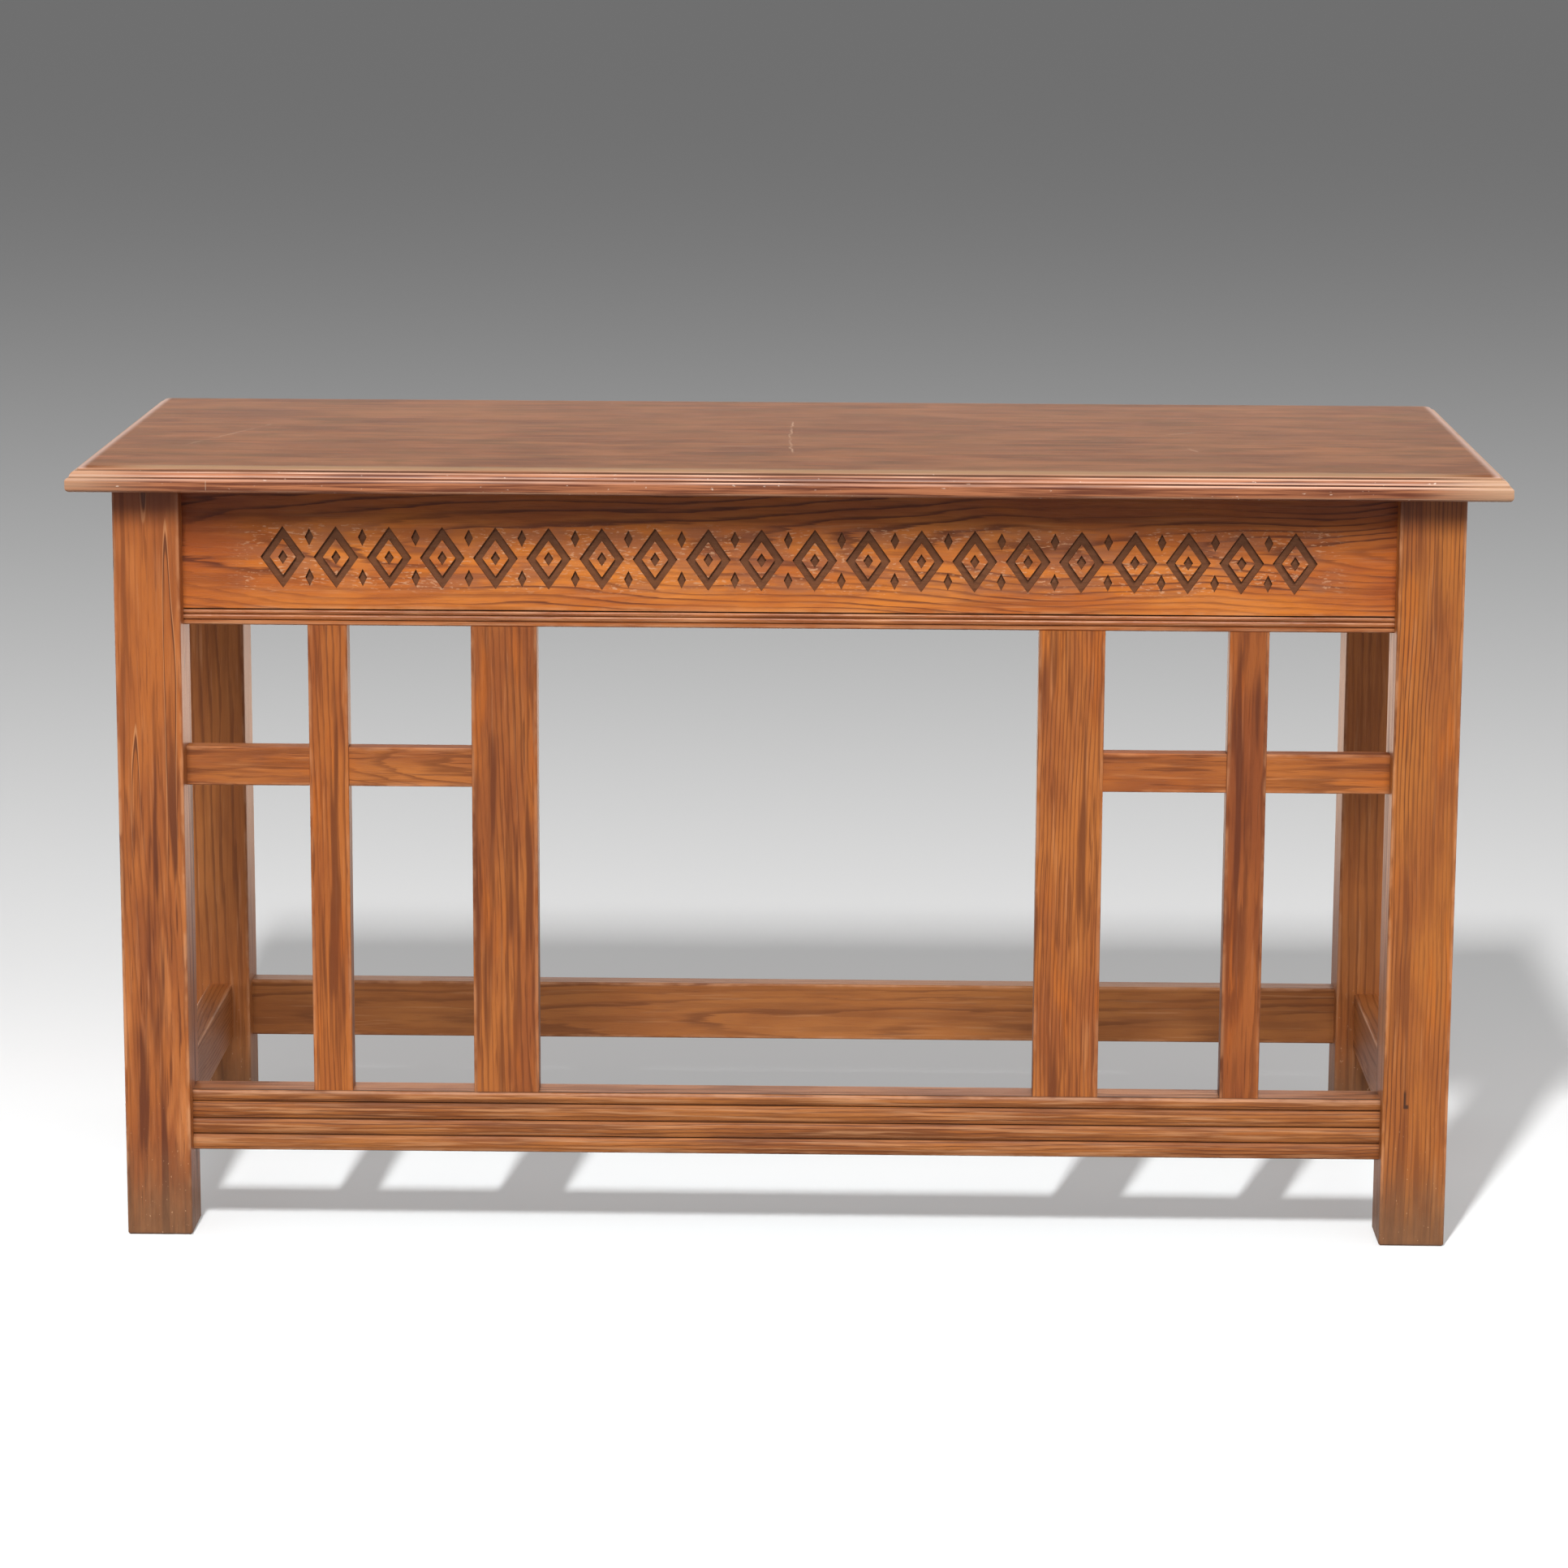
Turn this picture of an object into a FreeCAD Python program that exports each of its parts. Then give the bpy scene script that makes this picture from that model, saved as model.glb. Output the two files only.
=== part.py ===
import FreeCAD, Part
import math
import os

import Sketcher

# Communion table in oak.  Millimetres, +Z up, the front faces -Y.
# Origin: on the floor, under the middle of the table.

os.makedirs("parts", exist_ok=True)

DIMENSIONS = (
    # overall
    ("table_height", 762.0),
    ("frame_length", 1289.05),
    ("frame_depth", 520.7),
    # top, glued up from four boards, with a moulded edge
    ("top_length", 1365.25),
    ("top_depth", 596.9),
    ("top_thickness", 23.8),
    ("board_1_width", 152.4),
    ("board_2_width", 139.7),
    ("board_3_width", 158.75),
    ("nose_under_round", 4.5),
    ("nose_height", 10.5),
    ("nose_round", 3.0),
    ("lower_step_inset", 3.8),
    ("lower_step_height", 1.5),
    ("ovolo_depth", 6.2),
    ("ovolo_rise", 4.8),
    ("ovolo_swell", 1.5),
    ("upper_step_inset", 11.0),
    ("upper_step_height", 1.9),
    ("edge_flat_inset", 20.6),
    ("edge_swell", 0.55),
    # legs
    ("leg_width", 63.5),
    ("leg_edge_round", 2.5),
    ("foot_chamfer", 1.8),
    # aprons
    ("apron_bottom", 603.25),
    ("apron_thickness", 22.2),
    ("apron_setback", 22.2),
    ("apron_edge_round", 1.5),
    # moulding under the front apron
    ("moulding_height", 16.2),
    ("moulding_toe", 1.0),
    ("moulding_face_setback", 0.6),
    ("moulding_face_top", 4.2),
    ("moulding_quirk_depth", 2.6),
    ("moulding_bead_shoulder", 1.0),
    ("lower_bead_bottom", 5.2),
    ("lower_bead_top", 9.9),
    ("upper_bead_bottom", 10.5),
    ("upper_bead_top", 14.6),
    ("moulding_rebate_depth", 3.2),
    # bottom rails
    ("rail_bottom", 81.5),
    ("rail_height", 60.5),
    ("front_rail_thickness", 34.9),
    ("front_rail_setback", 19.05),
    ("plain_rail_thickness", 25.4),
    ("side_rail_setback", 19.05),
    ("back_rail_setback", 15.875),
    ("rail_edge_round", 2.0),
    # reeds on the front rail
    ("reed_pitch", 16.0),
    ("reed_last_groove", 49.0),
    ("reed_groove_half_width", 0.9),
    ("reed_groove_depth", 3.0),
    ("reed_swell", 1.4),
    # uprights and cross bars
    ("wide_upright_inner_x", 241.3),
    ("wide_upright_width", 63.5),
    ("narrow_upright_width", 38.1),
    ("upright_thickness", 25.4),
    ("upright_setback", 22.2),
    ("upright_edge_round", 1.2),
    ("cross_bar_bottom", 445.3),
    ("cross_bar_height", 38.1),
    ("cross_bar_thickness", 19.05),
    ("cross_bar_setback", 25.4),
    ("cross_bar_edge_round", 1.0),
    ("lap_depth", 9.55),
    # carved frieze of lozenges and darts
    ("frieze_pitch", 51.0),
    ("frieze_bottom", 20.0),
    ("frieze_height", 60.0),
    ("frieze_cut_depth", 4.0),
    ("lozenge_half_width", 21.5),
    ("lozenge_inner_half_width", 12.5),
    ("lozenge_inner_half_height", 17.5),
    ("diamond_half_width", 4.6),
    ("diamond_half_height", 7.0),
    ("dart_half_width", 4.2),
    ("dart_half_height", 8.5),
    ("dart_offset", 19.5),
    # bearers and corner blocks under the top
    ("bearer_x", 213.0),
    ("bearer_width", 50.8),
    ("bearer_height", 25.4),
    ("block_leg", 82.0),
    ("block_screw_offset", 32.0),
    # dowels
    ("dowel_diameter", 9.5),
    ("dowel_embed", 22.0),
    ("dowel_end_gap", 0.8),
    ("dowel_chamfer", 1.0),
    ("apron_dowel_drop", 30.0),
    ("apron_dowel_spacing", 55.0),
    ("rail_dowel_rise", 15.0),
    ("rail_dowel_spacing", 30.0),
    ("upright_dowel_embed", 25.0),
    ("upright_dowel_into_apron", 20.0),
    ("wide_dowel_spacing", 32.0),
    ("narrow_dowel_spacing", 18.0),
    ("cross_dowel_diameter", 7.9),
    ("cross_dowel_embed", 19.0),
    ("bearer_dowel_spacing", 26.0),
    ("bearer_dowel_into_apron", 14.0),
    # wood screws that hold the top down
    ("screw_length", 37.0),
    ("screw_shank_diameter", 4.2),
    ("screw_head_diameter", 8.6),
    ("screw_tip_length", 5.0),
    ("screw_tip_diameter", 0.8),
    ("screw_slot_width", 1.1),
    ("screw_slot_depth", 1.0),
)

FRIEZE_UNITS = 20
QUARTER_TURN = 90.0
SHEET_NAME = "Sizes"
VOLUME_TOLERANCE = 0.02
FLAT_TOLERANCE = 1e-6


class Size:
    """A length known both as a number and as the sheet formula behind it."""

    def __init__(self, value, formula):
        self.value = value
        self.formula = formula

    def joined(self, other, sign, value):
        return Size(value, "({} {} {})".format(self.formula, sign, other.formula))

    def __add__(self, other):
        other = as_size(other)
        return self.joined(other, "+", self.value + other.value)

    def __sub__(self, other):
        other = as_size(other)
        return self.joined(other, "-", self.value - other.value)

    def __mul__(self, other):
        other = as_size(other)
        return self.joined(other, "*", self.value * other.value)

    def __truediv__(self, other):
        other = as_size(other)
        return self.joined(other, "/", self.value / other.value)

    def __neg__(self):
        return Size(-self.value, "(0 - {})".format(self.formula))


def as_size(number):
    if isinstance(number, Size):
        return number
    return Size(float(number), repr(float(number)))


class SizeTable:
    """Every named dimension of the sheet, as an attribute."""


doc = FreeCAD.newDocument("communion_table")
sheet = doc.addObject("Spreadsheet::Sheet", SHEET_NAME)
s = SizeTable()
for row, (dimension_name, dimension) in enumerate(DIMENSIONS, start=1):
    sheet.set("A{}".format(row), dimension_name)
    sheet.set("B{}".format(row), str(dimension))
    sheet.setAlias("B{}".format(row), dimension_name)
    setattr(s, dimension_name, Size(dimension, "{}.{}".format(SHEET_NAME, dimension_name)))
doc.recompute()

ZERO = as_size(0)
exports = []


# ---------------------------------------------------------------- helpers

def origin_plane(body, role):
    for item in body.Origin.OriginFeatures:
        if item.Role == role:
            return item
    raise RuntimeError("no origin plane " + role)


def new_body(name, x, y, z, turn=0.0):
    """A body whose own origin sits at x, y, z, turned about the vertical by turn degrees."""
    body = doc.addObject("PartDesign::Body", name)
    body.Label = name
    body.Placement = FreeCAD.Placement(
        FreeCAD.Vector(x.value, y.value, z.value),
        FreeCAD.Rotation(FreeCAD.Vector(0, 0, 1), turn))
    body.setExpression("Placement.Base.x", x.formula)
    body.setExpression("Placement.Base.y", y.formula)
    body.setExpression("Placement.Base.z", z.formula)
    exports.append(body)
    return body


def new_sketch(body, name, role, offset=ZERO):
    """A sketch on one of the body's own planes, moved along the plane's normal by offset."""
    sketch = body.newObject("Sketcher::SketchObject", "{}_{}".format(body.Name, name))
    sketch.AttachmentSupport = [(origin_plane(body, role), "")]
    sketch.MapMode = "FlatFace"
    sketch.AttachmentOffset = FreeCAD.Placement(
        FreeCAD.Vector(0, 0, offset.value), FreeCAD.Rotation())
    sketch.setExpression("AttachmentOffset.Base.z", offset.formula)
    return sketch


def bind(sketch, index, name, size):
    sketch.renameConstraint(index, name)
    sketch.setExpression("Constraints." + name, size.formula)


def pin(sketch, geometry, position, x, y):
    """Hold one point of a sketch at x, y."""
    tag = "{}_{}".format(geometry, position)
    index = sketch.addConstraint(
        Sketcher.Constraint("DistanceX", -1, 1, geometry, position, x.value))
    bind(sketch, index, "x_" + tag, x)
    index = sketch.addConstraint(
        Sketcher.Constraint("DistanceY", -1, 1, geometry, position, y.value))
    bind(sketch, index, "y_" + tag, y)


def arc_between(start, end, radius, side):
    """Arc of the given radius from start to end; side +1 bulges to the left of the way along."""
    chord = end - start
    half = chord.Length / 2.0
    reach = math.sqrt(max(radius * radius - half * half, 0.0))
    left = FreeCAD.Vector(-chord.y, chord.x, 0.0)
    left.normalize()
    crown = start + chord * 0.5 + left * (side * (radius - reach))
    return Part.Arc(start, crown, end)


def add_outline(sketch, corners):
    """Closed outline.  A corner is (x, y) or (x, y, radius, side) when an arc leaves it."""
    points = [FreeCAD.Vector(corner[0].value, corner[1].value, 0.0) for corner in corners]
    count = len(corners)
    ends = []
    for number, corner in enumerate(corners):
        start = points[number]
        end = points[(number + 1) % count]
        if len(corner) == 2:
            geometry = sketch.addGeometry(Part.LineSegment(start, end), False)
        else:
            arc = arc_between(start, end, corner[2].value, corner[3])
            geometry = sketch.addGeometry(arc, False)
        forward = sketch.getPoint(geometry, 1).distanceToPoint(start) < FLAT_TOLERANCE
        ends.append((geometry, 1 if forward else 2, 2 if forward else 1))
    for number, corner in enumerate(corners):
        geometry, first, last = ends[number]
        following, following_first = ends[(number + 1) % count][:2]
        sketch.addConstraint(
            Sketcher.Constraint("Coincident", geometry, last, following, following_first))
        pin(sketch, geometry, first, corner[0], corner[1])
        if len(corner) > 2:
            index = sketch.addConstraint(
                Sketcher.Constraint("Radius", geometry, corner[2].value))
            bind(sketch, index, "radius_{}".format(geometry), corner[2])


def add_circle(sketch, x, y, diameter):
    circle = Part.Circle(
        FreeCAD.Vector(x.value, y.value, 0.0), FreeCAD.Vector(0, 0, 1), diameter.value / 2.0)
    geometry = sketch.addGeometry(circle, False)
    pin(sketch, geometry, 3, x, y)
    index = sketch.addConstraint(Sketcher.Constraint("Diameter", geometry, diameter.value))
    bind(sketch, index, "diameter_{}".format(geometry), diameter)


def rectangle(x0, y0, x1, y1):
    return [(x0, y0), (x1, y0), (x1, y1), (x0, y1)]


def pad(body, sketch, length):
    feature = body.newObject("PartDesign::Pad", sketch.Name + "_pad")
    feature.Profile = sketch
    feature.Length = length.value
    feature.setExpression("Length", length.formula)
    body.Tip = feature
    doc.recompute()
    return feature


def pocket(body, sketch, depth, reverse, expected):
    """Cut the sketch away over depth; expected is the volume that has to go."""
    before = body.Tip.Shape.Volume
    feature = body.newObject("PartDesign::Pocket", sketch.Name + "_cut")
    feature.Profile = sketch
    feature.Length = depth.value
    feature.setExpression("Length", depth.formula)
    feature.Reversed = reverse
    body.Tip = feature
    doc.recompute()
    removed = before - feature.Shape.Volume
    if abs(removed - expected) > VOLUME_TOLERANCE * expected:
        raise RuntimeError("{} removed {:.1f}, not {:.1f}".format(feature.Name, removed, expected))
    return feature


def drill(body, name, role, offset, reverse, centres, diameter, depth):
    """Round holes of one size and depth, all on one face of a body."""
    sketch = new_sketch(body, name, role, offset)
    for x, y in centres:
        add_circle(sketch, x, y, diameter)
    volume = len(centres) * math.pi * diameter.value ** 2 / 4.0 * depth.value
    return pocket(body, sketch, depth, reverse, volume)


def straight_edges(feature, axis):
    """Names of the straight edges that run along axis over the whole length of the piece."""
    box = feature.Shape.BoundBox
    length = (box.XLength, box.YLength, box.ZLength)[axis]
    names = []
    for number, edge in enumerate(feature.Shape.Edges, start=1):
        if len(edge.Vertexes) != 2 or edge.Curve.TypeId != "Part::GeomLine":
            continue
        run = edge.Vertexes[1].Point - edge.Vertexes[0].Point
        if abs(abs(run[axis]) - length) < FLAT_TOLERANCE * length + FLAT_TOLERANCE:
            names.append("Edge{}".format(number))
    return names


def fillet(body, feature, edges, radius):
    rounded = body.newObject("PartDesign::Fillet", feature.Name + "_round")
    rounded.Base = (feature, edges)
    rounded.Radius = radius.value
    rounded.setExpression("Radius", radius.formula)
    body.Tip = rounded
    doc.recompute()
    return rounded


def chamfer(body, feature, edges, size):
    cut = body.newObject("PartDesign::Chamfer", feature.Name + "_chamfer")
    cut.Base = (feature, edges)
    cut.Size = size.value
    cut.setExpression("Size", size.formula)
    body.Tip = cut
    doc.recompute()
    return cut


def plain_board(name, corner, extent, long_axis, edge_round=None):
    """A sawn board from its lowest corner, with its long edges eased if edge_round is given."""
    body = new_body(name, *corner)
    sketch = new_sketch(body, "section", "XY_Plane")
    add_outline(sketch, rectangle(ZERO, ZERO, extent[0], extent[1]))
    feature = pad(body, sketch, extent[2])
    if edge_round is not None:
        feature = fillet(body, feature, straight_edges(feature, long_axis), edge_round)
    return body


def dowel(name, start, axis, length, diameter):
    """One dowel from start along axis (0 for x, 1 for y, 2 for z), both ends chamfered."""
    rod = doc.addObject("Part::Cylinder", name + "_rod")
    rod.Radius = diameter.value / 2.0
    rod.setExpression("Radius", (diameter / 2).formula)
    rod.Height = length.value
    rod.setExpression("Height", length.formula)
    turn = (
        FreeCAD.Rotation(FreeCAD.Vector(0, 1, 0), QUARTER_TURN),
        FreeCAD.Rotation(FreeCAD.Vector(1, 0, 0), -QUARTER_TURN),
        FreeCAD.Rotation(),
    )[axis]
    rod.Placement = FreeCAD.Placement(FreeCAD.Vector(*[part.value for part in start]), turn)
    for letter, part in zip("xyz", start):
        rod.setExpression("Placement.Base." + letter, part.formula)
    doc.recompute()
    eased = doc.addObject("Part::Chamfer", name)
    eased.Base = rod
    bevel = s.dowel_chamfer.value
    rims = [
        number for number, edge in enumerate(rod.Shape.Edges, start=1)
        if edge.Curve.TypeId == "Part::GeomCircle"]
    eased.Edges = [(number, bevel, bevel) for number in rims]
    return eased


def group(name, members):
    """Identical loose pieces that share one node."""
    compound = doc.addObject("Part::Compound", name)
    compound.Label = name
    compound.Links = members
    doc.recompute()
    exports.append(compound)
    return compound


# ---------------------------------------------------------------- shared positions

half_frame_x = s.frame_length / 2
half_frame_y = s.frame_depth / 2
leg_inner_x = half_frame_x - s.leg_width
leg_inner_y = half_frame_y - s.leg_width
clear_length = leg_inner_x * 2
clear_depth = leg_inner_y * 2
top_underside = s.table_height - s.top_thickness

apron_middle = s.apron_setback + s.apron_thickness / 2
apron_inner_x = half_frame_x - s.apron_setback - s.apron_thickness
apron_inner_y = half_frame_y - s.apron_setback - s.apron_thickness
apron_height = top_underside - s.apron_bottom
apron_dowel_heights = (
    top_underside - s.apron_dowel_drop - s.apron_dowel_spacing,
    top_underside - s.apron_dowel_drop,
)
rail_dowel_heights = (
    s.rail_bottom + s.rail_dowel_rise,
    s.rail_bottom + s.rail_dowel_rise + s.rail_dowel_spacing,
)
rail_top = s.rail_bottom + s.rail_height
front_rail_middle = s.front_rail_setback + s.front_rail_thickness / 2
side_rail_middle = s.side_rail_setback + s.plain_rail_thickness / 2
back_rail_middle = s.back_rail_setback + s.plain_rail_thickness / 2
cross_bar_middle_y = s.cross_bar_setback + s.cross_bar_thickness / 2
cross_bar_middle_z = s.cross_bar_bottom + s.cross_bar_height / 2
wide_upright_outer_x = s.wide_upright_inner_x + s.wide_upright_width
narrow_upright_middle_x = (wide_upright_outer_x + leg_inner_x) / 2

socket_depth = s.dowel_embed + s.dowel_end_gap
upright_socket_depth = s.upright_dowel_embed + s.dowel_end_gap
cross_socket_depth = s.cross_dowel_embed + s.dowel_end_gap

SIDES = (("left", -1), ("right", 1))
ENDS = (("front", -1), ("back", 1))


# ---------------------------------------------------------------- legs

def make_leg(end_name, end, side_name, side):
    """A square leg with sockets for the aprons, rails and (in front) the cross bar."""
    x = -half_frame_x if side < 0 else leg_inner_x
    y = -half_frame_y if end < 0 else leg_inner_y
    body = new_body("leg_{}_{}".format(end_name, side_name), x, y, ZERO)
    sketch = new_sketch(body, "section", "XY_Plane")
    add_outline(sketch, rectangle(ZERO, ZERO, s.leg_width, s.leg_width))
    feature = pad(body, sketch, top_underside)
    feature = fillet(body, feature, straight_edges(feature, 2), s.leg_edge_round)
    foot = [
        "Edge{}".format(number) for number, edge in enumerate(feature.Shape.Edges, start=1)
        if edge.BoundBox.ZMax < FLAT_TOLERANCE]
    chamfer(body, feature, foot, s.foot_chamfer)

    # sockets for the long pieces, in the face that looks along the table
    face_x = s.leg_width if side < 0 else ZERO
    rail_middle = front_rail_middle if end < 0 else back_rail_middle
    apron_y = apron_middle if end < 0 else s.leg_width - apron_middle
    rail_y = rail_middle if end < 0 else s.leg_width - rail_middle
    centres = [(apron_y, height) for height in apron_dowel_heights]
    centres += [(rail_y, height) for height in rail_dowel_heights]
    drill(body, "long_sockets", "YZ_Plane", face_x, side > 0, centres,
          s.dowel_diameter, socket_depth)

    # sockets for the side pieces, in the face that looks across the table
    face_y = s.leg_width if end < 0 else ZERO
    apron_x = apron_middle if side < 0 else s.leg_width - apron_middle
    rail_x = side_rail_middle if side < 0 else s.leg_width - side_rail_middle
    centres = [(apron_x, height) for height in apron_dowel_heights]
    centres += [(rail_x, height) for height in rail_dowel_heights]
    drill(body, "side_sockets", "XZ_Plane", -face_y, end < 0, centres,
          s.dowel_diameter, socket_depth)

    if end < 0:
        drill(body, "cross_socket", "YZ_Plane", face_x, side > 0,
              [(cross_bar_middle_y, cross_bar_middle_z)],
              s.cross_dowel_diameter, cross_socket_depth)


for end_name, end in ENDS:
    for side_name, side in SIDES:
        make_leg(end_name, end, side_name, side)


# ---------------------------------------------------------------- sockets in boards

def drill_long_ends(body, length, centres, diameter, depth):
    """The same sockets in both ends of a board that runs along x."""
    drill(body, "sockets_left", "YZ_Plane", ZERO, True, centres, diameter, depth)
    drill(body, "sockets_right", "YZ_Plane", length, False, centres, diameter, depth)


def drill_cross_ends(body, length, centres, diameter, depth):
    """The same sockets in both ends of a board that runs along y."""
    drill(body, "sockets_front", "XZ_Plane", ZERO, False, centres, diameter, depth)
    drill(body, "sockets_back", "XZ_Plane", -length, True, centres, diameter, depth)


bearer_dowel_height = s.bearer_height / 2
bearer_dowel_xs = [
    s.bearer_x * side + s.bearer_dowel_spacing * (shift / 2)
    for _, side in SIDES for shift in (-1, 1)]
bearer_socket_depth = s.bearer_dowel_into_apron + s.dowel_end_gap


def upright_dowel_xs():
    """Middle of every dowel at the end of an upright, from left to right."""
    places = []
    for _, side in SIDES:
        wide_middle = (s.wide_upright_inner_x + s.wide_upright_width / 2) * side
        narrow_middle = narrow_upright_middle_x * side
        for shift in (-1, 1):
            places.append(wide_middle + s.wide_dowel_spacing * (shift / 2))
            places.append(narrow_middle + s.narrow_dowel_spacing * (shift / 2))
    return places


# ---------------------------------------------------------------- front apron and frieze

front_apron_bottom = s.apron_bottom + s.moulding_height
front_apron_height = apron_height - s.moulding_height
front_apron_y = -half_frame_y + s.apron_setback


def rhombus(x, y, half_width, half_height):
    return [(x - half_width, y), (x, y - half_height), (x + half_width, y), (x, y + half_height)]


def rhombus_area(half_width, half_height):
    return 2.0 * half_width.value * half_height.value


def carve_frieze(body):
    """A row of incised lozenges with small darts above and below the gaps between them."""
    half_height = s.frieze_height / 2
    middle_z = s.frieze_bottom + half_height
    first_x = leg_inner_x - s.frieze_pitch * ((FRIEZE_UNITS - 1) / 2)
    sketch = new_sketch(body, "lozenge", "XZ_Plane")
    add_outline(sketch, rhombus(first_x, middle_z, s.lozenge_half_width, half_height))
    add_outline(sketch, rhombus(
        first_x, middle_z, s.lozenge_inner_half_width, s.lozenge_inner_half_height))
    add_outline(sketch, rhombus(
        first_x, middle_z, s.diamond_half_width, s.diamond_half_height))
    area = rhombus_area(s.lozenge_half_width, half_height)
    area -= rhombus_area(s.lozenge_inner_half_width, s.lozenge_inner_half_height)
    area += rhombus_area(s.diamond_half_width, s.diamond_half_height)
    lozenge = pocket(body, sketch, s.frieze_cut_depth, False, area * s.frieze_cut_depth.value)
    repeat_along(body, sketch, lozenge, FRIEZE_UNITS)

    sketch = new_sketch(body, "dart", "XZ_Plane")
    dart_x = first_x + s.frieze_pitch / 2
    for side in (-1, 1):
        add_outline(sketch, rhombus(
            dart_x, middle_z + s.dart_offset * side, s.dart_half_width, s.dart_half_height))
    area = 2.0 * rhombus_area(s.dart_half_width, s.dart_half_height)
    dart = pocket(body, sketch, s.frieze_cut_depth, False, area * s.frieze_cut_depth.value)
    repeat_along(body, sketch, dart, FRIEZE_UNITS - 1)


def repeat_along(body, sketch, feature, count):
    """Repeat a cut along x at the pitch of the frieze."""
    pattern = body.newObject("PartDesign::LinearPattern", feature.Name + "_row")
    pattern.Originals = [feature]
    pattern.Direction = (sketch, ["H_Axis"])
    run = s.frieze_pitch * (count - 1)
    pattern.Length = run.value
    pattern.setExpression("Length", run.formula)
    pattern.Occurrences = count
    body.Tip = pattern
    doc.recompute()


front_apron = plain_board(
    "apron_front",
    (-leg_inner_x, front_apron_y, front_apron_bottom),
    (clear_length, s.apron_thickness, front_apron_height), 0)
drill_long_ends(
    front_apron, clear_length,
    [(s.apron_thickness / 2, height - front_apron_bottom) for height in apron_dowel_heights],
    s.dowel_diameter, socket_depth)
drill(
    front_apron, "upright_sockets", "XY_Plane", ZERO, True,
    [(leg_inner_x + x, s.apron_thickness / 2) for x in upright_dowel_xs()],
    s.dowel_diameter, s.upright_dowel_into_apron + s.dowel_end_gap)
drill(
    front_apron, "bearer_sockets", "XZ_Plane", -s.apron_thickness, True,
    [(leg_inner_x + x, front_apron_height - bearer_dowel_height) for x in bearer_dowel_xs],
    s.dowel_diameter, bearer_socket_depth)
carve_frieze(front_apron)


# ---------------------------------------------------------------- moulding under the front apron

def bead_radius(chord, swell):
    return (chord * chord / 4 + swell * swell) / (swell * 2)


def make_moulding():
    """A strip with a fillet and two beads, planted on the lower edge of the front apron."""
    body = new_body("apron_moulding", -leg_inner_x, front_apron_y, s.apron_bottom)
    shoulder = s.moulding_bead_shoulder
    lower_radius = bead_radius(s.lower_bead_top - s.lower_bead_bottom, shoulder)
    upper_radius = bead_radius(s.upper_bead_top - s.upper_bead_bottom, shoulder)
    sketch = new_sketch(body, "profile", "YZ_Plane")
    add_outline(sketch, [
        (s.moulding_face_setback + s.moulding_toe, ZERO),
        (s.apron_thickness, ZERO),
        (s.apron_thickness, s.moulding_height),
        (s.moulding_rebate_depth, s.moulding_height),
        (s.moulding_rebate_depth, s.upper_bead_top),
        (shoulder, s.upper_bead_top, upper_radius, -1),
        (shoulder, s.upper_bead_bottom),
        (s.moulding_quirk_depth, (s.upper_bead_bottom + s.lower_bead_top) / 2),
        (shoulder, s.lower_bead_top, lower_radius, -1),
        (shoulder, s.lower_bead_bottom),
        (s.moulding_quirk_depth, (s.lower_bead_bottom + s.moulding_face_top) / 2),
        (s.moulding_face_setback, s.moulding_face_top),
        (s.moulding_face_setback, s.moulding_toe),
    ])
    pad(body, sketch, clear_length)
    drill(
        body, "upright_holes", "XY_Plane", ZERO, True,
        [(leg_inner_x + x, s.apron_thickness / 2) for x in upright_dowel_xs()],
        s.dowel_diameter, s.moulding_height)


make_moulding()


# ---------------------------------------------------------------- back and side aprons

back_apron = plain_board(
    "apron_back",
    (-leg_inner_x, apron_inner_y, s.apron_bottom),
    (clear_length, s.apron_thickness, apron_height), 0, s.apron_edge_round)
drill_long_ends(
    back_apron, clear_length,
    [(s.apron_thickness / 2, height - s.apron_bottom) for height in apron_dowel_heights],
    s.dowel_diameter, socket_depth)
drill(
    back_apron, "bearer_sockets", "XZ_Plane", ZERO, False,
    [(leg_inner_x + x, apron_height - bearer_dowel_height) for x in bearer_dowel_xs],
    s.dowel_diameter, bearer_socket_depth)

for side_name, side in SIDES:
    apron_x = -half_frame_x + s.apron_setback if side < 0 else apron_inner_x
    side_apron = plain_board(
        "apron_" + side_name,
        (apron_x, -leg_inner_y, s.apron_bottom),
        (s.apron_thickness, clear_depth, apron_height), 1, s.apron_edge_round)
    drill_cross_ends(
        side_apron, clear_depth,
        [(s.apron_thickness / 2, height - s.apron_bottom) for height in apron_dowel_heights],
        s.dowel_diameter, socket_depth)


# ---------------------------------------------------------------- bottom rails

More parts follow.
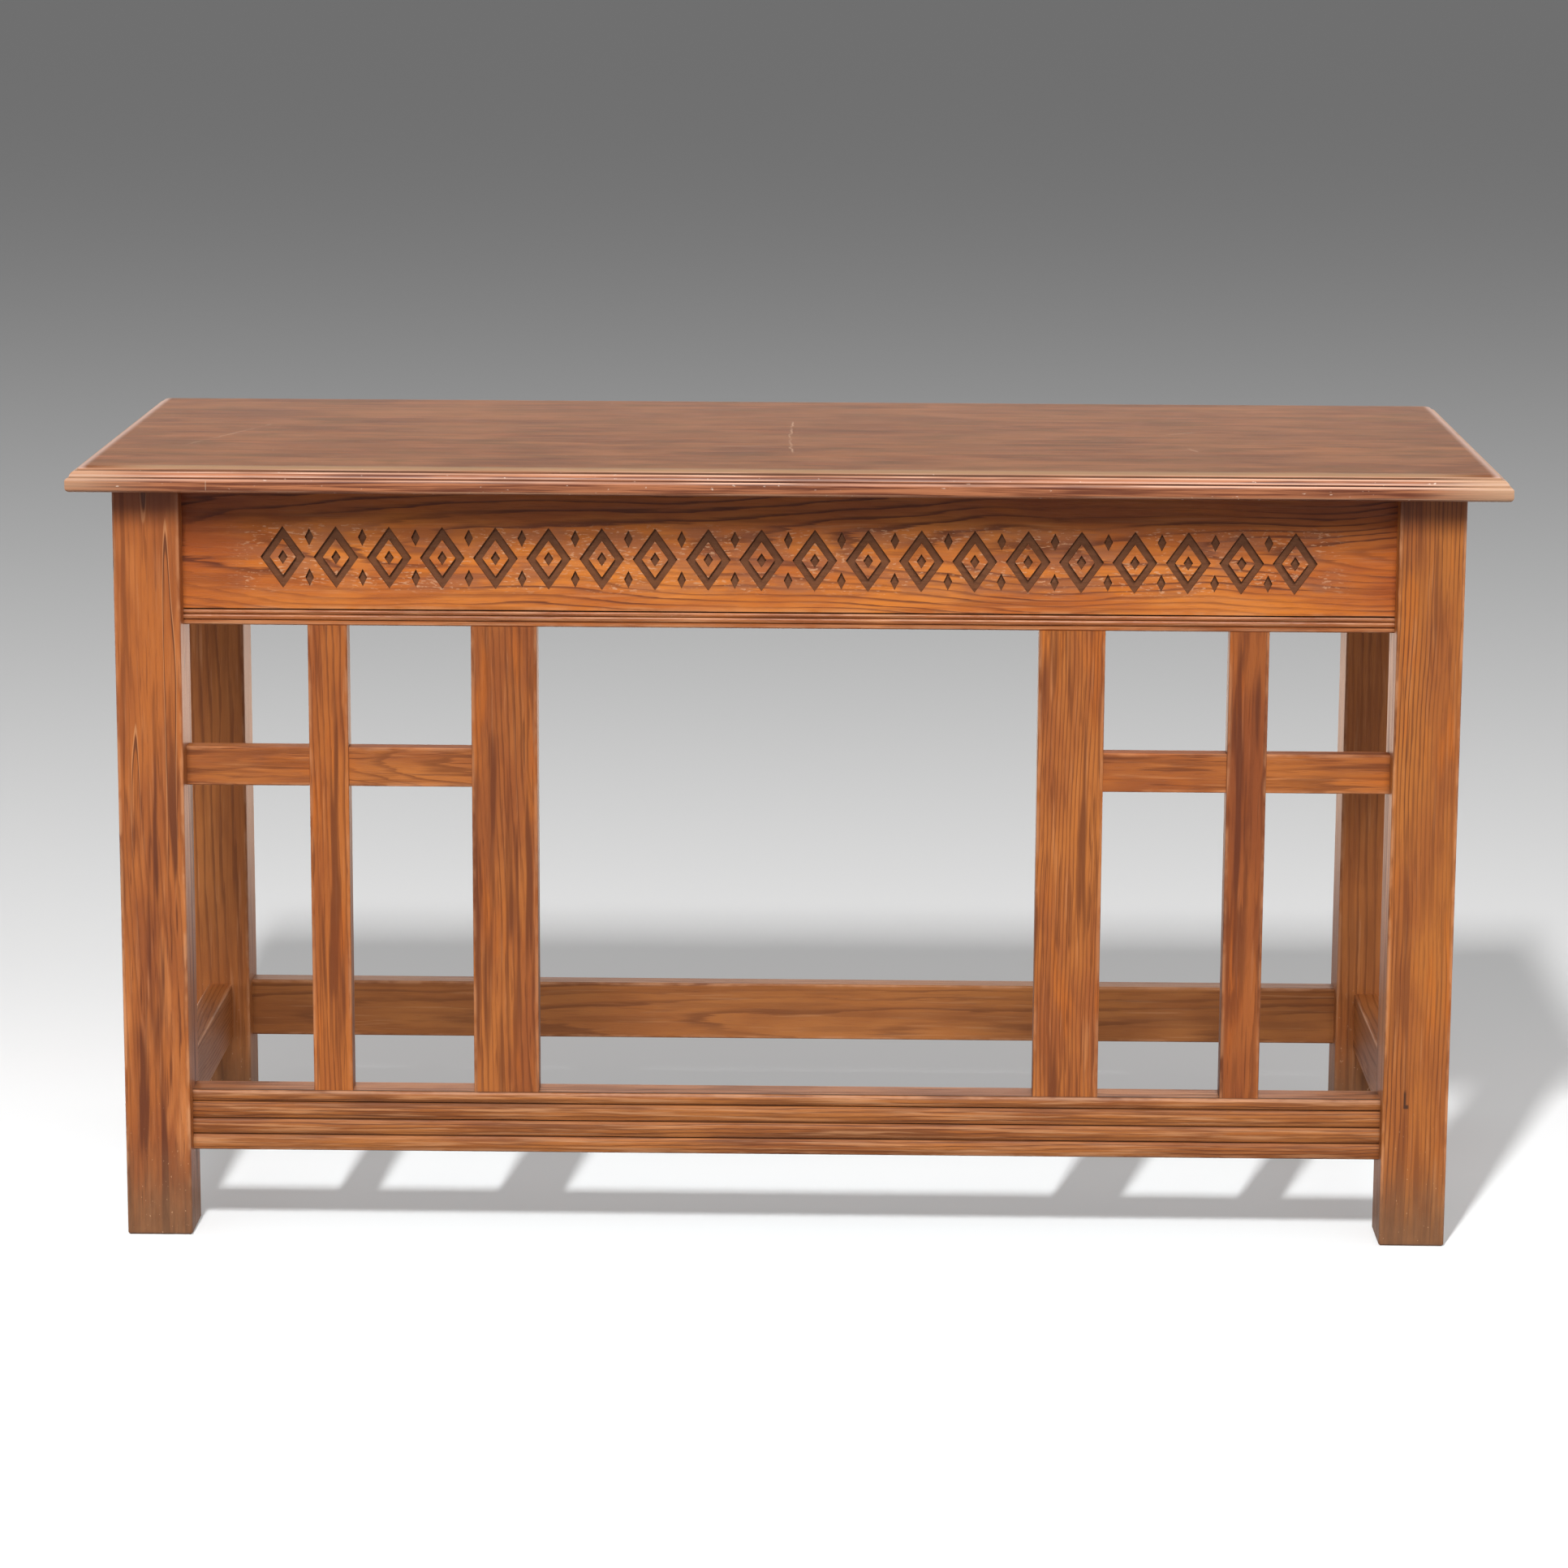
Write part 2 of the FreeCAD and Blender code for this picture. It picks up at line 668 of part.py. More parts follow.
def make_front_rail():
    """The reeded rail: three grooves leave four shallow convex reeds on its face."""
    body = new_body("rail_front", -leg_inner_x, -half_frame_y + s.front_rail_setback,
                    s.rail_bottom)
    half = s.reed_groove_half_width
    swell = s.reed_swell
    grooves = (s.reed_last_groove, s.reed_pitch * 2, s.reed_pitch)
    reed_tops = (s.rail_height - half, ) + tuple(groove - half for groove in grooves)
    reed_bottoms = tuple(groove + half for groove in grooves) + (half, )
    corners = [
        (swell + half, ZERO),
        (s.front_rail_thickness, ZERO),
        (s.front_rail_thickness, s.rail_height),
        (swell + half, s.rail_height),
    ]
    for number, (reed_top, reed_bottom) in enumerate(zip(reed_tops, reed_bottoms)):
        radius = bead_radius(reed_top - reed_bottom, swell)
        corners.append((swell, reed_top, radius, -1))
        corners.append((swell, reed_bottom))
        if number < len(grooves):
            corners.append((s.reed_groove_depth, grooves[number]))
    sketch = new_sketch(body, "profile", "YZ_Plane")
    add_outline(sketch, corners)
    pad(body, sketch, clear_length)
    drill_long_ends(
        body, clear_length,
        [(s.front_rail_thickness / 2, height - s.rail_bottom) for height in rail_dowel_heights],
        s.dowel_diameter, socket_depth)
    upright_dowel_y = apron_middle - s.front_rail_setback
    drill(
        body, "upright_sockets", "XY_Plane", s.rail_height, False,
        [(leg_inner_x + x, upright_dowel_y) for x in upright_dowel_xs()],
        s.dowel_diameter, upright_socket_depth)


make_front_rail()

rail_centres = [
    (s.plain_rail_thickness / 2, height - s.rail_bottom) for height in rail_dowel_heights]
back_rail = plain_board(
    "rail_back",
    (-leg_inner_x, half_frame_y - s.back_rail_setback - s.plain_rail_thickness, s.rail_bottom),
    (clear_length, s.plain_rail_thickness, s.rail_height), 0, s.rail_edge_round)
drill_long_ends(back_rail, clear_length, rail_centres, s.dowel_diameter, socket_depth)

for side_name, side in SIDES:
    rail_x = (
        -half_frame_x + s.side_rail_setback if side < 0
        else half_frame_x - s.side_rail_setback - s.plain_rail_thickness)
    side_rail = plain_board(
        "rail_" + side_name,
        (rail_x, -leg_inner_y, s.rail_bottom),
        (s.plain_rail_thickness, clear_depth, s.rail_height), 1, s.rail_edge_round)
    drill_cross_ends(side_rail, clear_depth, rail_centres, s.dowel_diameter, socket_depth)


# ---------------------------------------------------------------- uprights and cross bars

upright_length = s.apron_bottom - rail_top
upright_y = -half_frame_y + s.upright_setback
upright_dowel_y = apron_middle - s.upright_setback


def make_upright(name, middle_x, width, dowel_spacing):
    """An upright between the front rail and the moulding, with dowel sockets at both ends."""
    body = plain_board(
        name, (middle_x - width / 2, upright_y, rail_top),
        (width, s.upright_thickness, upright_length), 2, s.upright_edge_round)
    centres = [
        (width / 2 + dowel_spacing * (shift / 2), upright_dowel_y) for shift in (-1, 1)]
    drill(body, "foot_sockets", "XY_Plane", ZERO, True, centres,
          s.dowel_diameter, upright_socket_depth)
    drill(body, "head_sockets", "XY_Plane", upright_length, False, centres,
          s.dowel_diameter, upright_socket_depth)
    return body


cross_bar_length = leg_inner_x - wide_upright_outer_x
lap_face_y = s.cross_bar_setback + s.lap_depth - s.upright_setback

for side_name, side in SIDES:
    wide = make_upright(
        "upright_wide_" + side_name,
        (s.wide_upright_inner_x + s.wide_upright_width / 2) * side,
        s.wide_upright_width, s.wide_dowel_spacing)
    outer_face = ZERO if side < 0 else s.wide_upright_width
    drill(
        wide, "cross_socket", "YZ_Plane", outer_face, side < 0,
        [(cross_bar_middle_y - s.upright_setback, cross_bar_middle_z - rail_top)],
        s.cross_dowel_diameter, cross_socket_depth)

    narrow = make_upright(
        "upright_narrow_" + side_name, narrow_upright_middle_x * side,
        s.narrow_upright_width, s.narrow_dowel_spacing)
    notch_bottom = s.cross_bar_bottom - rail_top
    notch = new_sketch(narrow, "lap", "XZ_Plane", -s.upright_thickness)
    add_outline(notch, rectangle(
        ZERO, notch_bottom, s.narrow_upright_width, notch_bottom + s.cross_bar_height))
    notch_depth = s.upright_thickness - lap_face_y
    notch_volume = (
        s.narrow_upright_width.value * s.cross_bar_height.value * notch_depth.value)
    pocket(narrow, notch, notch_depth, True, notch_volume)

    bar_x = -leg_inner_x if side < 0 else wide_upright_outer_x
    bar = plain_board(
        "cross_bar_" + side_name,
        (bar_x, -half_frame_y + s.cross_bar_setback, s.cross_bar_bottom),
        (cross_bar_length, s.cross_bar_thickness, s.cross_bar_height), 0,
        s.cross_bar_edge_round)
    lap = new_sketch(bar, "lap", "XZ_Plane")
    lap_start = (cross_bar_length - s.narrow_upright_width) / 2
    add_outline(lap, rectangle(
        lap_start, ZERO, lap_start + s.narrow_upright_width, s.cross_bar_height))
    lap_volume = s.narrow_upright_width.value * s.cross_bar_height.value * s.lap_depth.value
    pocket(bar, lap, s.lap_depth, False, lap_volume)
    drill_long_ends(
        bar, cross_bar_length, [(s.cross_bar_thickness / 2, s.cross_bar_height / 2)],
        s.cross_dowel_diameter, cross_socket_depth)


# ---------------------------------------------------------------- top boards

board_widths = (
    s.board_1_width,
    s.board_2_width,
    s.board_3_width,
    s.top_depth - s.board_1_width - s.board_2_width - s.board_3_width,
)


def edge_waste(inward, out):
    """What the cutter takes off a top edge, as corners of an inset from the edge and a height.

    inward(inset) turns an inset into a sketch coordinate, and out is the side on which the
    rounds bulge: 1 where insets grow along the sketch's first axis, -1 where they shrink.
    """
    nose_bottom = s.nose_under_round
    nose_top = s.nose_height
    step_1 = nose_top + s.nose_round
    ovolo_foot = step_1 + s.lower_step_height
    ovolo_head = ovolo_foot + s.ovolo_rise
    ovolo_end = s.lower_step_inset + s.ovolo_depth
    step_2 = ovolo_head + s.upper_step_height
    ovolo_chord = math.hypot(s.ovolo_depth.value, s.ovolo_rise.value)
    ovolo_radius = bead_radius(as_size(ovolo_chord), s.ovolo_swell)
    ease_chord = math.hypot(
        s.edge_flat_inset.value - s.upper_step_inset.value,
        s.top_thickness.value - step_2.value)
    ease_radius = bead_radius(as_size(ease_chord), s.edge_swell)
    outside = -s.nose_round
    return [
        (inward(outside), outside),
        (inward(s.nose_under_round), outside),
        (inward(s.nose_under_round), ZERO, s.nose_under_round, out),
        (inward(ZERO), nose_bottom),
        (inward(ZERO), nose_top, s.nose_round, out),
        (inward(s.nose_round), step_1),
        (inward(s.lower_step_inset), step_1),
        (inward(s.lower_step_inset), ovolo_foot, ovolo_radius, out),
        (inward(ovolo_end), ovolo_head),
        (inward(s.upper_step_inset), ovolo_head),
        (inward(s.upper_step_inset), step_2, ease_radius, out),
        (inward(s.edge_flat_inset), s.top_thickness),
        (inward(s.edge_flat_inset), s.top_thickness + s.nose_round),
        (inward(outside), s.top_thickness + s.nose_round),
    ]


def cut_edge(body, name, role, inward, out, length, reverse):
    """Run the edge moulding along one side of a top board."""
    sketch = new_sketch(body, name, role)
    add_outline(sketch, edge_waste(inward, out))
    before = body.Tip.Shape.Volume
    feature = body.newObject("PartDesign::Pocket", sketch.Name + "_cut")
    feature.Profile = sketch
    feature.Length = length.value
    feature.setExpression("Length", length.formula)
    feature.Reversed = reverse
    body.Tip = feature
    doc.recompute()
    if feature.Shape.Volume >= before:
        raise RuntimeError(feature.Name + " removed nothing")


bearer_screw_xs = [s.bearer_x * side for _, side in SIDES]
block_screw_x = apron_inner_x - s.block_screw_offset
block_screw_y = apron_inner_y - s.block_screw_offset
block_screw_xs = [block_screw_x * side for _, side in SIDES]
screw_reach = s.screw_length - s.bearer_height

board_front_y = -(s.top_depth / 2)
bearer_screw_places = []
for number, width in enumerate(board_widths, start=1):
    body = plain_board(
        "top_board_{}".format(number),
        (-(s.top_length / 2), board_front_y, top_underside),
        (s.top_length, width, s.top_thickness), 0)
    cut_edge(body, "left_end", "XZ_Plane", lambda inset: inset, 1, width, False)
    cut_edge(body, "right_end", "XZ_Plane", lambda inset: s.top_length - inset, -1, width, False)
    if number == 1:
        cut_edge(body, "front_edge", "YZ_Plane", lambda inset: inset, 1,
                 s.top_length, True)
    if number == len(board_widths):
        cut_edge(body, "back_edge", "YZ_Plane", lambda inset: width - inset, -1,
                 s.top_length, True)
    # pilot holes for the screws that come up through the bearers and corner blocks
    middle_y = board_front_y + width / 2
    if number == 1:
        middle_y = s.bearer_width - apron_inner_y
    if number == len(board_widths):
        middle_y = apron_inner_y - s.bearer_width
    places = [(x, middle_y) for x in bearer_screw_xs]
    bearer_screw_places += places
    if number == 1:
        places = places + [(x, -block_screw_y) for x in block_screw_xs]
    if number == len(board_widths):
        places = places + [(x, block_screw_y) for x in block_screw_xs]
    drill(
        body, "pilots", "XY_Plane", ZERO, True,
        [(x + s.top_length / 2, y - board_front_y) for x, y in places],
        s.screw_shank_diameter, screw_reach)
    board_front_y = board_front_y + width


# ---------------------------------------------------------------- bearers and corner blocks

def countersink(body, feature):
    """Open the lower rim of every screw hole to take a flat head."""
    rims = []
    for number, edge in enumerate(feature.Shape.Edges, start=1):
        is_rim = edge.Curve.TypeId == "Part::GeomCircle" and edge.BoundBox.ZMax < FLAT_TOLERANCE
        if is_rim and abs(edge.Curve.Radius - s.screw_shank_diameter.value / 2) < FLAT_TOLERANCE:
            rims.append("Edge{}".format(number))
    chamfer(body, feature, rims, (s.screw_head_diameter - s.screw_shank_diameter) / 2)


bearer_bottom = top_underside - s.bearer_height
bearer_length = apron_inner_y * 2
for side_name, side in SIDES:
    left_x = s.bearer_x * side - s.bearer_width / 2
    bearer = plain_board(
        "bearer_" + side_name, (left_x, -apron_inner_y, bearer_bottom),
        (s.bearer_width, bearer_length, s.bearer_height), 1)
    drill_cross_ends(
        bearer, bearer_length,
        [(s.bearer_width / 2 + s.bearer_dowel_spacing * (shift / 2), bearer_dowel_height)
         for shift in (-1, 1)],
        s.dowel_diameter, socket_depth)
    holes = drill(
        bearer, "screw_holes", "XY_Plane", ZERO, True,
        [(s.bearer_width / 2, y + apron_inner_y) for x, y in bearer_screw_places
         if x.value * side > 0],
        s.screw_shank_diameter, s.bearer_height)
    countersink(bearer, holes)

leg_intrusion = s.leg_width - s.apron_setback - s.apron_thickness
BLOCK_TURNS = (
    ("front_left", -1, -1, 0.0),
    ("front_right", 1, -1, QUARTER_TURN),
    ("back_right", 1, 1, QUARTER_TURN * 2),
    ("back_left", -1, 1, QUARTER_TURN * 3),
)
for corner_name, x_side, y_side, turn in BLOCK_TURNS:
    block = new_body(
        "corner_block_" + corner_name,
        apron_inner_x * x_side, apron_inner_y * y_side, bearer_bottom, turn)
    sketch = new_sketch(block, "plan", "XY_Plane")
    add_outline(sketch, [
        (leg_intrusion, ZERO),
        (s.block_leg, ZERO),
        (ZERO, s.block_leg),
        (ZERO, leg_intrusion),
        (leg_intrusion, leg_intrusion),
    ])
    pad(block, sketch, s.bearer_height)
    hole = drill(
        block, "screw_hole", "XY_Plane", ZERO, True,
        [(s.block_screw_offset, s.block_screw_offset)],
        s.screw_shank_diameter, s.bearer_height)
    countersink(block, hole)


# ---------------------------------------------------------------- dowels

def end_dowels(prefix, joints, embed, diameter):
    """One dowel at every joint, reaching the same depth into both pieces."""
    members = []
    for number, (x, y, z, axis) in enumerate(joints, start=1):
        start = [x, y, z]
        start[axis] = start[axis] - embed
        members.append(dowel(
            "{}_{}".format(prefix, number), start, axis, embed * 2, diameter))
    return members


apron_joints = []
rail_joints = []
cross_joints = []
bearer_joints = []
for _, side in SIDES:
    for height in apron_dowel_heights:
        for _, end in ENDS:
            apron_joints.append(
                (leg_inner_x * side, (half_frame_y - apron_middle) * end, height, 0))
            apron_joints.append(
                ((half_frame_x - apron_middle) * side, leg_inner_y * end, height, 1))
    for height in rail_dowel_heights:
        rail_joints.append((leg_inner_x * side, front_rail_middle - half_frame_y, height, 0))
        rail_joints.append((leg_inner_x * side, half_frame_y - back_rail_middle, height, 0))
        for _, end in ENDS:
            rail_joints.append(
                ((half_frame_x - side_rail_middle) * side, leg_inner_y * end, height, 1))
    for x in (leg_inner_x, wide_upright_outer_x):
        cross_joints.append((x * side, cross_bar_middle_y - half_frame_y, cross_bar_middle_z, 0))

group("apron_dowels", end_dowels("apron_dowel", apron_joints, s.dowel_embed, s.dowel_diameter))
group("rail_dowels", end_dowels("rail_dowel", rail_joints, s.dowel_embed, s.dowel_diameter))
group("cross_bar_dowels", end_dowels(
    "cross_dowel", cross_joints, s.cross_dowel_embed, s.cross_dowel_diameter))
group("upright_foot_dowels", end_dowels(
    "foot_dowel",
    [(x, apron_middle - half_frame_y, rail_top, 2) for x in upright_dowel_xs()],
    s.upright_dowel_embed, s.dowel_diameter))

head_dowel_length = (
    s.upright_dowel_embed + s.moulding_height + s.upright_dowel_into_apron)
group("upright_head_dowels", [
    dowel(
        "head_dowel_{}".format(number),
        (x, apron_middle - half_frame_y, s.apron_bottom - s.upright_dowel_embed),
        2, head_dowel_length, s.dowel_diameter)
    for number, x in enumerate(upright_dowel_xs(), start=1)])

bearer_dowel_length = s.dowel_embed + s.bearer_dowel_into_apron
bearer_dowel_z = top_underside - bearer_dowel_height
bearer_members = []
for _, end in ENDS:
    start_y = (
        -apron_inner_y - s.bearer_dowel_into_apron if end < 0
        else apron_inner_y - s.dowel_embed)
    for x in bearer_dowel_xs:
        bearer_members.append(dowel(
            "bearer_dowel_{}".format(len(bearer_members) + 1),
            (x, start_y, bearer_dowel_z), 1, bearer_dowel_length, s.dowel_diameter))
group("bearer_dowels", bearer_members)


# ---------------------------------------------------------------- screws

def primitive(kind, name, x, y, z, **sizes):
    """A Part primitive at x, y, z with its sizes bound to the sheet."""
    item = doc.addObject(kind, name)
    for key, size in sizes.items():
        setattr(item, key, size.value)
        item.setExpression(key, size.formula)
    item.Placement.Base = FreeCAD.Vector(x.value, y.value, z.value)
    for letter, part in zip("xyz", (x, y, z)):
        item.setExpression("Placement.Base." + letter, part.formula)
    return item


def screw(name, x, y):
    """A slotted flat-head wood screw, driven upwards."""
    shank_radius = s.screw_shank_diameter / 2
    head_radius = s.screw_head_diameter / 2
    head_height = head_radius - shank_radius
    shank_length = s.screw_length - head_height - s.screw_tip_length
    head = primitive(
        "Part::Cone", name + "_head", x, y, bearer_bottom,
        Radius1=head_radius, Radius2=shank_radius, Height=head_height)
    shank = primitive(
        "Part::Cylinder", name + "_shank", x, y, bearer_bottom + head_height,
        Radius=shank_radius, Height=shank_length)
    tip = primitive(
        "Part::Cone", name + "_tip", x, y, bearer_bottom + head_height + shank_length,
        Radius1=shank_radius, Radius2=s.screw_tip_diameter / 2, Height=s.screw_tip_length)
    whole = doc.addObject("Part::MultiFuse", name + "_whole")
    whole.Shapes = [head, shank, tip]
    slot = primitive(
        "Part::Box", name + "_slot", x - head_radius, y - s.screw_slot_width / 2,
        bearer_bottom - s.screw_slot_depth,
        Length=s.screw_head_diameter, Width=s.screw_slot_width, Height=s.screw_slot_depth * 2)
    slotted = doc.addObject("Part::Cut", name)
    slotted.Base = whole
    slotted.Tool = slot
    return slotted


screw_places = list(bearer_screw_places)
for _, x_side in SIDES:
    for _, y_side in ENDS:
        screw_places.append((block_screw_x * x_side, block_screw_y * y_side))
group("top_screws", [
    screw("top_screw_{}".format(number), x, y)
    for number, (x, y) in enumerate(screw_places, start=1)])


# ---------------------------------------------------------------- check and write

doc.recompute()
for item in doc.Objects:
    if "Invalid" in item.State or "Error" in item.State:
        raise RuntimeError("{} is {}".format(item.Name, item.State))
for item in exports:
    if item.Shape.isNull() or not item.Shape.isValid():
        raise RuntimeError(item.Label + " has no valid shape")
    item.Shape.exportStep(os.path.join("parts", item.Label + ".step"))
print("pieces written:", len(exports))
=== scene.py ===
import math

import bpy
from mathutils import Matrix, Vector


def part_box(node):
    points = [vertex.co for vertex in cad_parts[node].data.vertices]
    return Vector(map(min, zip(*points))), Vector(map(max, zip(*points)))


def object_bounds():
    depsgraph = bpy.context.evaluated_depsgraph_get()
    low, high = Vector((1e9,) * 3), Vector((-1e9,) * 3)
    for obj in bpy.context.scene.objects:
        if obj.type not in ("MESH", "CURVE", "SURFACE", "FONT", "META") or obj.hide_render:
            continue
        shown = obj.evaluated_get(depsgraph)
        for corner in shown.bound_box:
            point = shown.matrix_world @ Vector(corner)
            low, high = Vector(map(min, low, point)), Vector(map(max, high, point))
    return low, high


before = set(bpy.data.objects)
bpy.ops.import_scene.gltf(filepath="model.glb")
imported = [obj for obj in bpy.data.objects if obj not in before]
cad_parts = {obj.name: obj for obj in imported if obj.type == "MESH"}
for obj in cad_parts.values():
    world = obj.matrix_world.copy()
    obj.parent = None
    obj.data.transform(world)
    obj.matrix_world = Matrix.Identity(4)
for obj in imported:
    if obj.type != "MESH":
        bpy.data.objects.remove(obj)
cad_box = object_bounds()

MM = 0.001
scene = bpy.context.scene
scene.view_settings.view_transform = "Standard"
scene.view_settings.look = "None"


# ---------------------------------------------------------------- node helpers

class Graph:
    """Short calls for wiring one node tree; every argument is a socket or a plain value."""

    def __init__(self, tree):
        self.tree = tree
        tree.nodes.clear()

    def node(self, kind, settings=None, inputs=None):
        made = self.tree.nodes.new(kind)
        for key, value in (settings or {}).items():
            setattr(made, key, value)
        for key, value in (inputs or {}).items():
            self.feed(made.inputs[key], value)
        return made

    def feed(self, socket, value):
        if isinstance(value, bpy.types.NodeSocket):
            self.tree.links.new(value, socket)
        elif value is not None:
            socket.default_value = value

    def math(self, operation, a, b=None):
        return self.node("ShaderNodeMath", {"operation": operation}, {0: a, 1: b}).outputs[0]

    def add(self, a, b):
        return self.math("ADD", a, b)

    def sub(self, a, b):
        return self.math("SUBTRACT", a, b)

    def mul(self, a, b):
        return self.math("MULTIPLY", a, b)

    def vector(self, operation, a, b=None):
        made = self.node("ShaderNodeVectorMath", {"operation": operation}, {0: a, 1: b})
        return made.outputs["Value" if operation in ("LENGTH", "DOT_PRODUCT") else "Vector"]

    def combine(self, x, y, z):
        return self.node("ShaderNodeCombineXYZ", None, {0: x, 1: y, 2: z}).outputs[0]

    def split(self, vector):
        return self.node("ShaderNodeSeparateXYZ", None, {0: vector}).outputs

    def noise(self, vector, stretch, detail=2.0, roughness=0.5):
        """Noise in 0..1 with its own frequency per metre along each axis of vector."""
        scaled = self.vector("MULTIPLY", vector, stretch)
        inputs = {"Vector": scaled, "Scale": 1.0, "Detail": detail, "Roughness": roughness}
        return self.node("ShaderNodeTexNoise", None, inputs).outputs[0]

    def step(self, value, low, high):
        """0 below low, 1 above high, smooth between; low above high turns it round."""
        settings = {"interpolation_type": "SMOOTHSTEP"}
        inputs = {"Value": value, "From Min": low, "From Max": high}
        return self.node("ShaderNodeMapRange", settings, inputs).outputs[0]

    def mix(self, factor, a, b, blend="MIX"):
        settings = {"data_type": "RGBA", "blend_type": blend}
        return self.node("ShaderNodeMix", settings, {0: factor, 6: a, 7: b}).outputs[2]


def rgb(red, green, blue):
    return (red, green, blue, 1.0)


# ---------------------------------------------------------------- oak

class Cut:
    """How one piece was sawn: where the middle of the tree lies, seen from the piece.

    ring is the spacing of the growth rings, pith_u and pith_v the place of the middle of the
    tree across the face and through the thickness, and wave how far the rings wander, all in
    millimetres. tilt_u and tilt_v are the slopes of the middle against the piece's length.
    """

    def __init__(self, ring, pith_u, pith_v, tilt_u, tilt_v, wave):
        self.ring = ring * MM
        self.pith_u = pith_u * MM
        self.pith_v = pith_v * MM
        self.tilt_u = tilt_u
        self.tilt_v = tilt_v
        self.wave = wave * MM


class Finish:
    """Colours and strengths of one kind of wood.

    light and deep are the two cloudy ground colours, glow the bright glints, dark the lines,
    streaks and pores, and worn the pale fibres and rubbed edges. line, streak, glint and wear
    are the strengths of the growth rings, the dark streaks, the glints and the rubbed edges.
    """

    def __init__(self, light, deep, dark, glow, line, streak, glint, worn, roughness, wear=0.0):
        self.light = light
        self.deep = deep
        self.dark = dark
        self.glow = glow
        self.line = line
        self.streak = streak
        self.glint = glint
        self.wear = wear
        self.worn = worn
        self.roughness = roughness


def piece_axes(low, high):
    """Axes of a board: across its face, through its thickness, along its grain."""
    extent = [high[axis] - low[axis] for axis in range(3)]
    along = extent.index(max(extent))
    rest = [axis for axis in range(3) if axis != along]
    if abs(extent[rest[0]] - extent[rest[1]]) < MM:
        through = 1 if 1 in rest else rest[1]
    else:
        through = min(rest, key=lambda axis: extent[axis])
    across = [axis for axis in rest if axis != through][0]
    return across, through, along


def start_material(name, low, high, seed):
    """A material with the place on the piece as sockets: across, through and along the grain."""
    material = bpy.data.materials.new(name)
    material.use_nodes = True
    g = Graph(material.node_tree)
    place = g.node("ShaderNodeTexCoord").outputs["Object"]
    centre = (Vector(low) + Vector(high)) / 2
    xyz = g.split(g.vector("SUBTRACT", place, tuple(centre)))
    across, through, along = piece_axes(low, high)
    u, v, w = xyz[across], xyz[through], xyz[along]
    shift = (seed * 1.37, seed * 2.11, seed * 0.73)
    grain = g.vector("ADD", g.combine(u, v, w), shift)
    return material, g, place, (u, v, w), grain


# Noise frequencies per metre: across the face, through the thickness, along the grain.
RING_BEND = (9, 9, 3)
RING_RAG = (200, 200, 11)
CLOUDS = (26, 26, 6)
FADES = (40, 40, 3.5)
BANDS = (105, 105, 4.6)
FLECKS = (330, 330, 13)
PORES = (1500, 1500, 60)
GLINTS = (55, 55, 9)
PALE_FIBRES = (300, 300, 11)
CHECKS = (34, 34, 1.3)
CHECK_PATCHES = (20, 20, 3)


def growth_rings(g, uvw, grain, cut):
    """Dark spring-wood lines where the growth rings meet the surface, 0..1."""
    u, v, w = uvw
    elsewhere = g.vector("ADD", grain, (5.1, 3.7, 1.9))
    bend_u = g.sub(g.noise(grain, RING_BEND), 0.5)
    bend_v = g.sub(g.noise(elsewhere, RING_BEND), 0.5)
    from_u = g.add(g.sub(u, cut.pith_u), g.mul(w, cut.tilt_u))
    from_v = g.add(g.sub(v, cut.pith_v), g.mul(w, cut.tilt_v))
    from_u = g.add(from_u, g.mul(bend_u, cut.wave))
    from_v = g.add(from_v, g.mul(bend_v, cut.wave))
    radius = g.vector("LENGTH", g.combine(from_u, from_v, 0.0))
    ragged = g.mul(g.sub(g.noise(grain, RING_RAG, 3.0, 0.6), 0.5), 0.9)
    phase = g.math("FRACT", g.add(g.math("DIVIDE", radius, cut.ring), ragged))
    rising = g.step(phase, 0.0, 0.12)
    falling = g.step(phase, 0.52, 0.14)
    return g.mul(rising, falling)


def oak_layers(g, uvw, grain, cut, finish):
    """Colour, relief and darkness of wood before wear."""
    rings = growth_rings(g, uvw, grain, cut)
    lines = g.mul(rings, g.add(0.35, g.mul(g.step(g.noise(grain, FADES), 0.34, 0.58), 0.65)))
    bands = g.step(g.noise(grain, BANDS, 2.0, 0.55), 0.52, 0.66)
    flecks = g.step(g.noise(grain, FLECKS, 2.0, 0.55), 0.56, 0.70)
    pores = g.step(g.noise(grain, PORES, 2.0, 0.6), 0.54, 0.68)
    glints = g.step(g.noise(grain, GLINTS, 2.0), 0.54, 0.70)
    fibres = g.step(g.noise(grain, PALE_FIBRES), 0.58, 0.74)
    clouds = g.step(g.noise(grain, CLOUDS, 3.0, 0.6), 0.34, 0.64)

    colour = g.mix(clouds, finish.light, finish.deep)
    colour = g.mix(g.mul(glints, finish.glint), colour, finish.glow)
    colour = g.mix(g.mul(fibres, 0.30), colour, finish.worn)
    dark = g.mul(lines, finish.line)
    dark = g.math("MAXIMUM", dark, g.mul(bands, finish.streak))
    dark = g.math("MAXIMUM", dark, g.mul(flecks, finish.streak * 0.85))
    dark = g.math("MAXIMUM", dark, g.mul(pores, g.add(0.14, g.mul(rings, 0.40))))
    colour = g.mix(dark, colour, finish.dark)

    height = g.sub(g.sub(1.0, g.mul(lines, 0.35)), g.mul(pores, 0.45))
    height = g.sub(height, g.mul(flecks, 0.30))
    return colour, height, dark


def arris(g, uvw, low, high, reach):
    """1 on the long edges of a board, fading to 0 at reach from them."""
    across, through, along = piece_axes(low, high)
    gaps = []
    for socket, axis in ((uvw[0], across), (uvw[1], through)):
        half = (high[axis] - low[axis]) / 2
        gaps.append(g.sub(half, g.math("ABSOLUTE", socket)))
    return g.step(g.math("MAXIMUM", gaps[0], gaps[1]), reach, reach * 0.25)


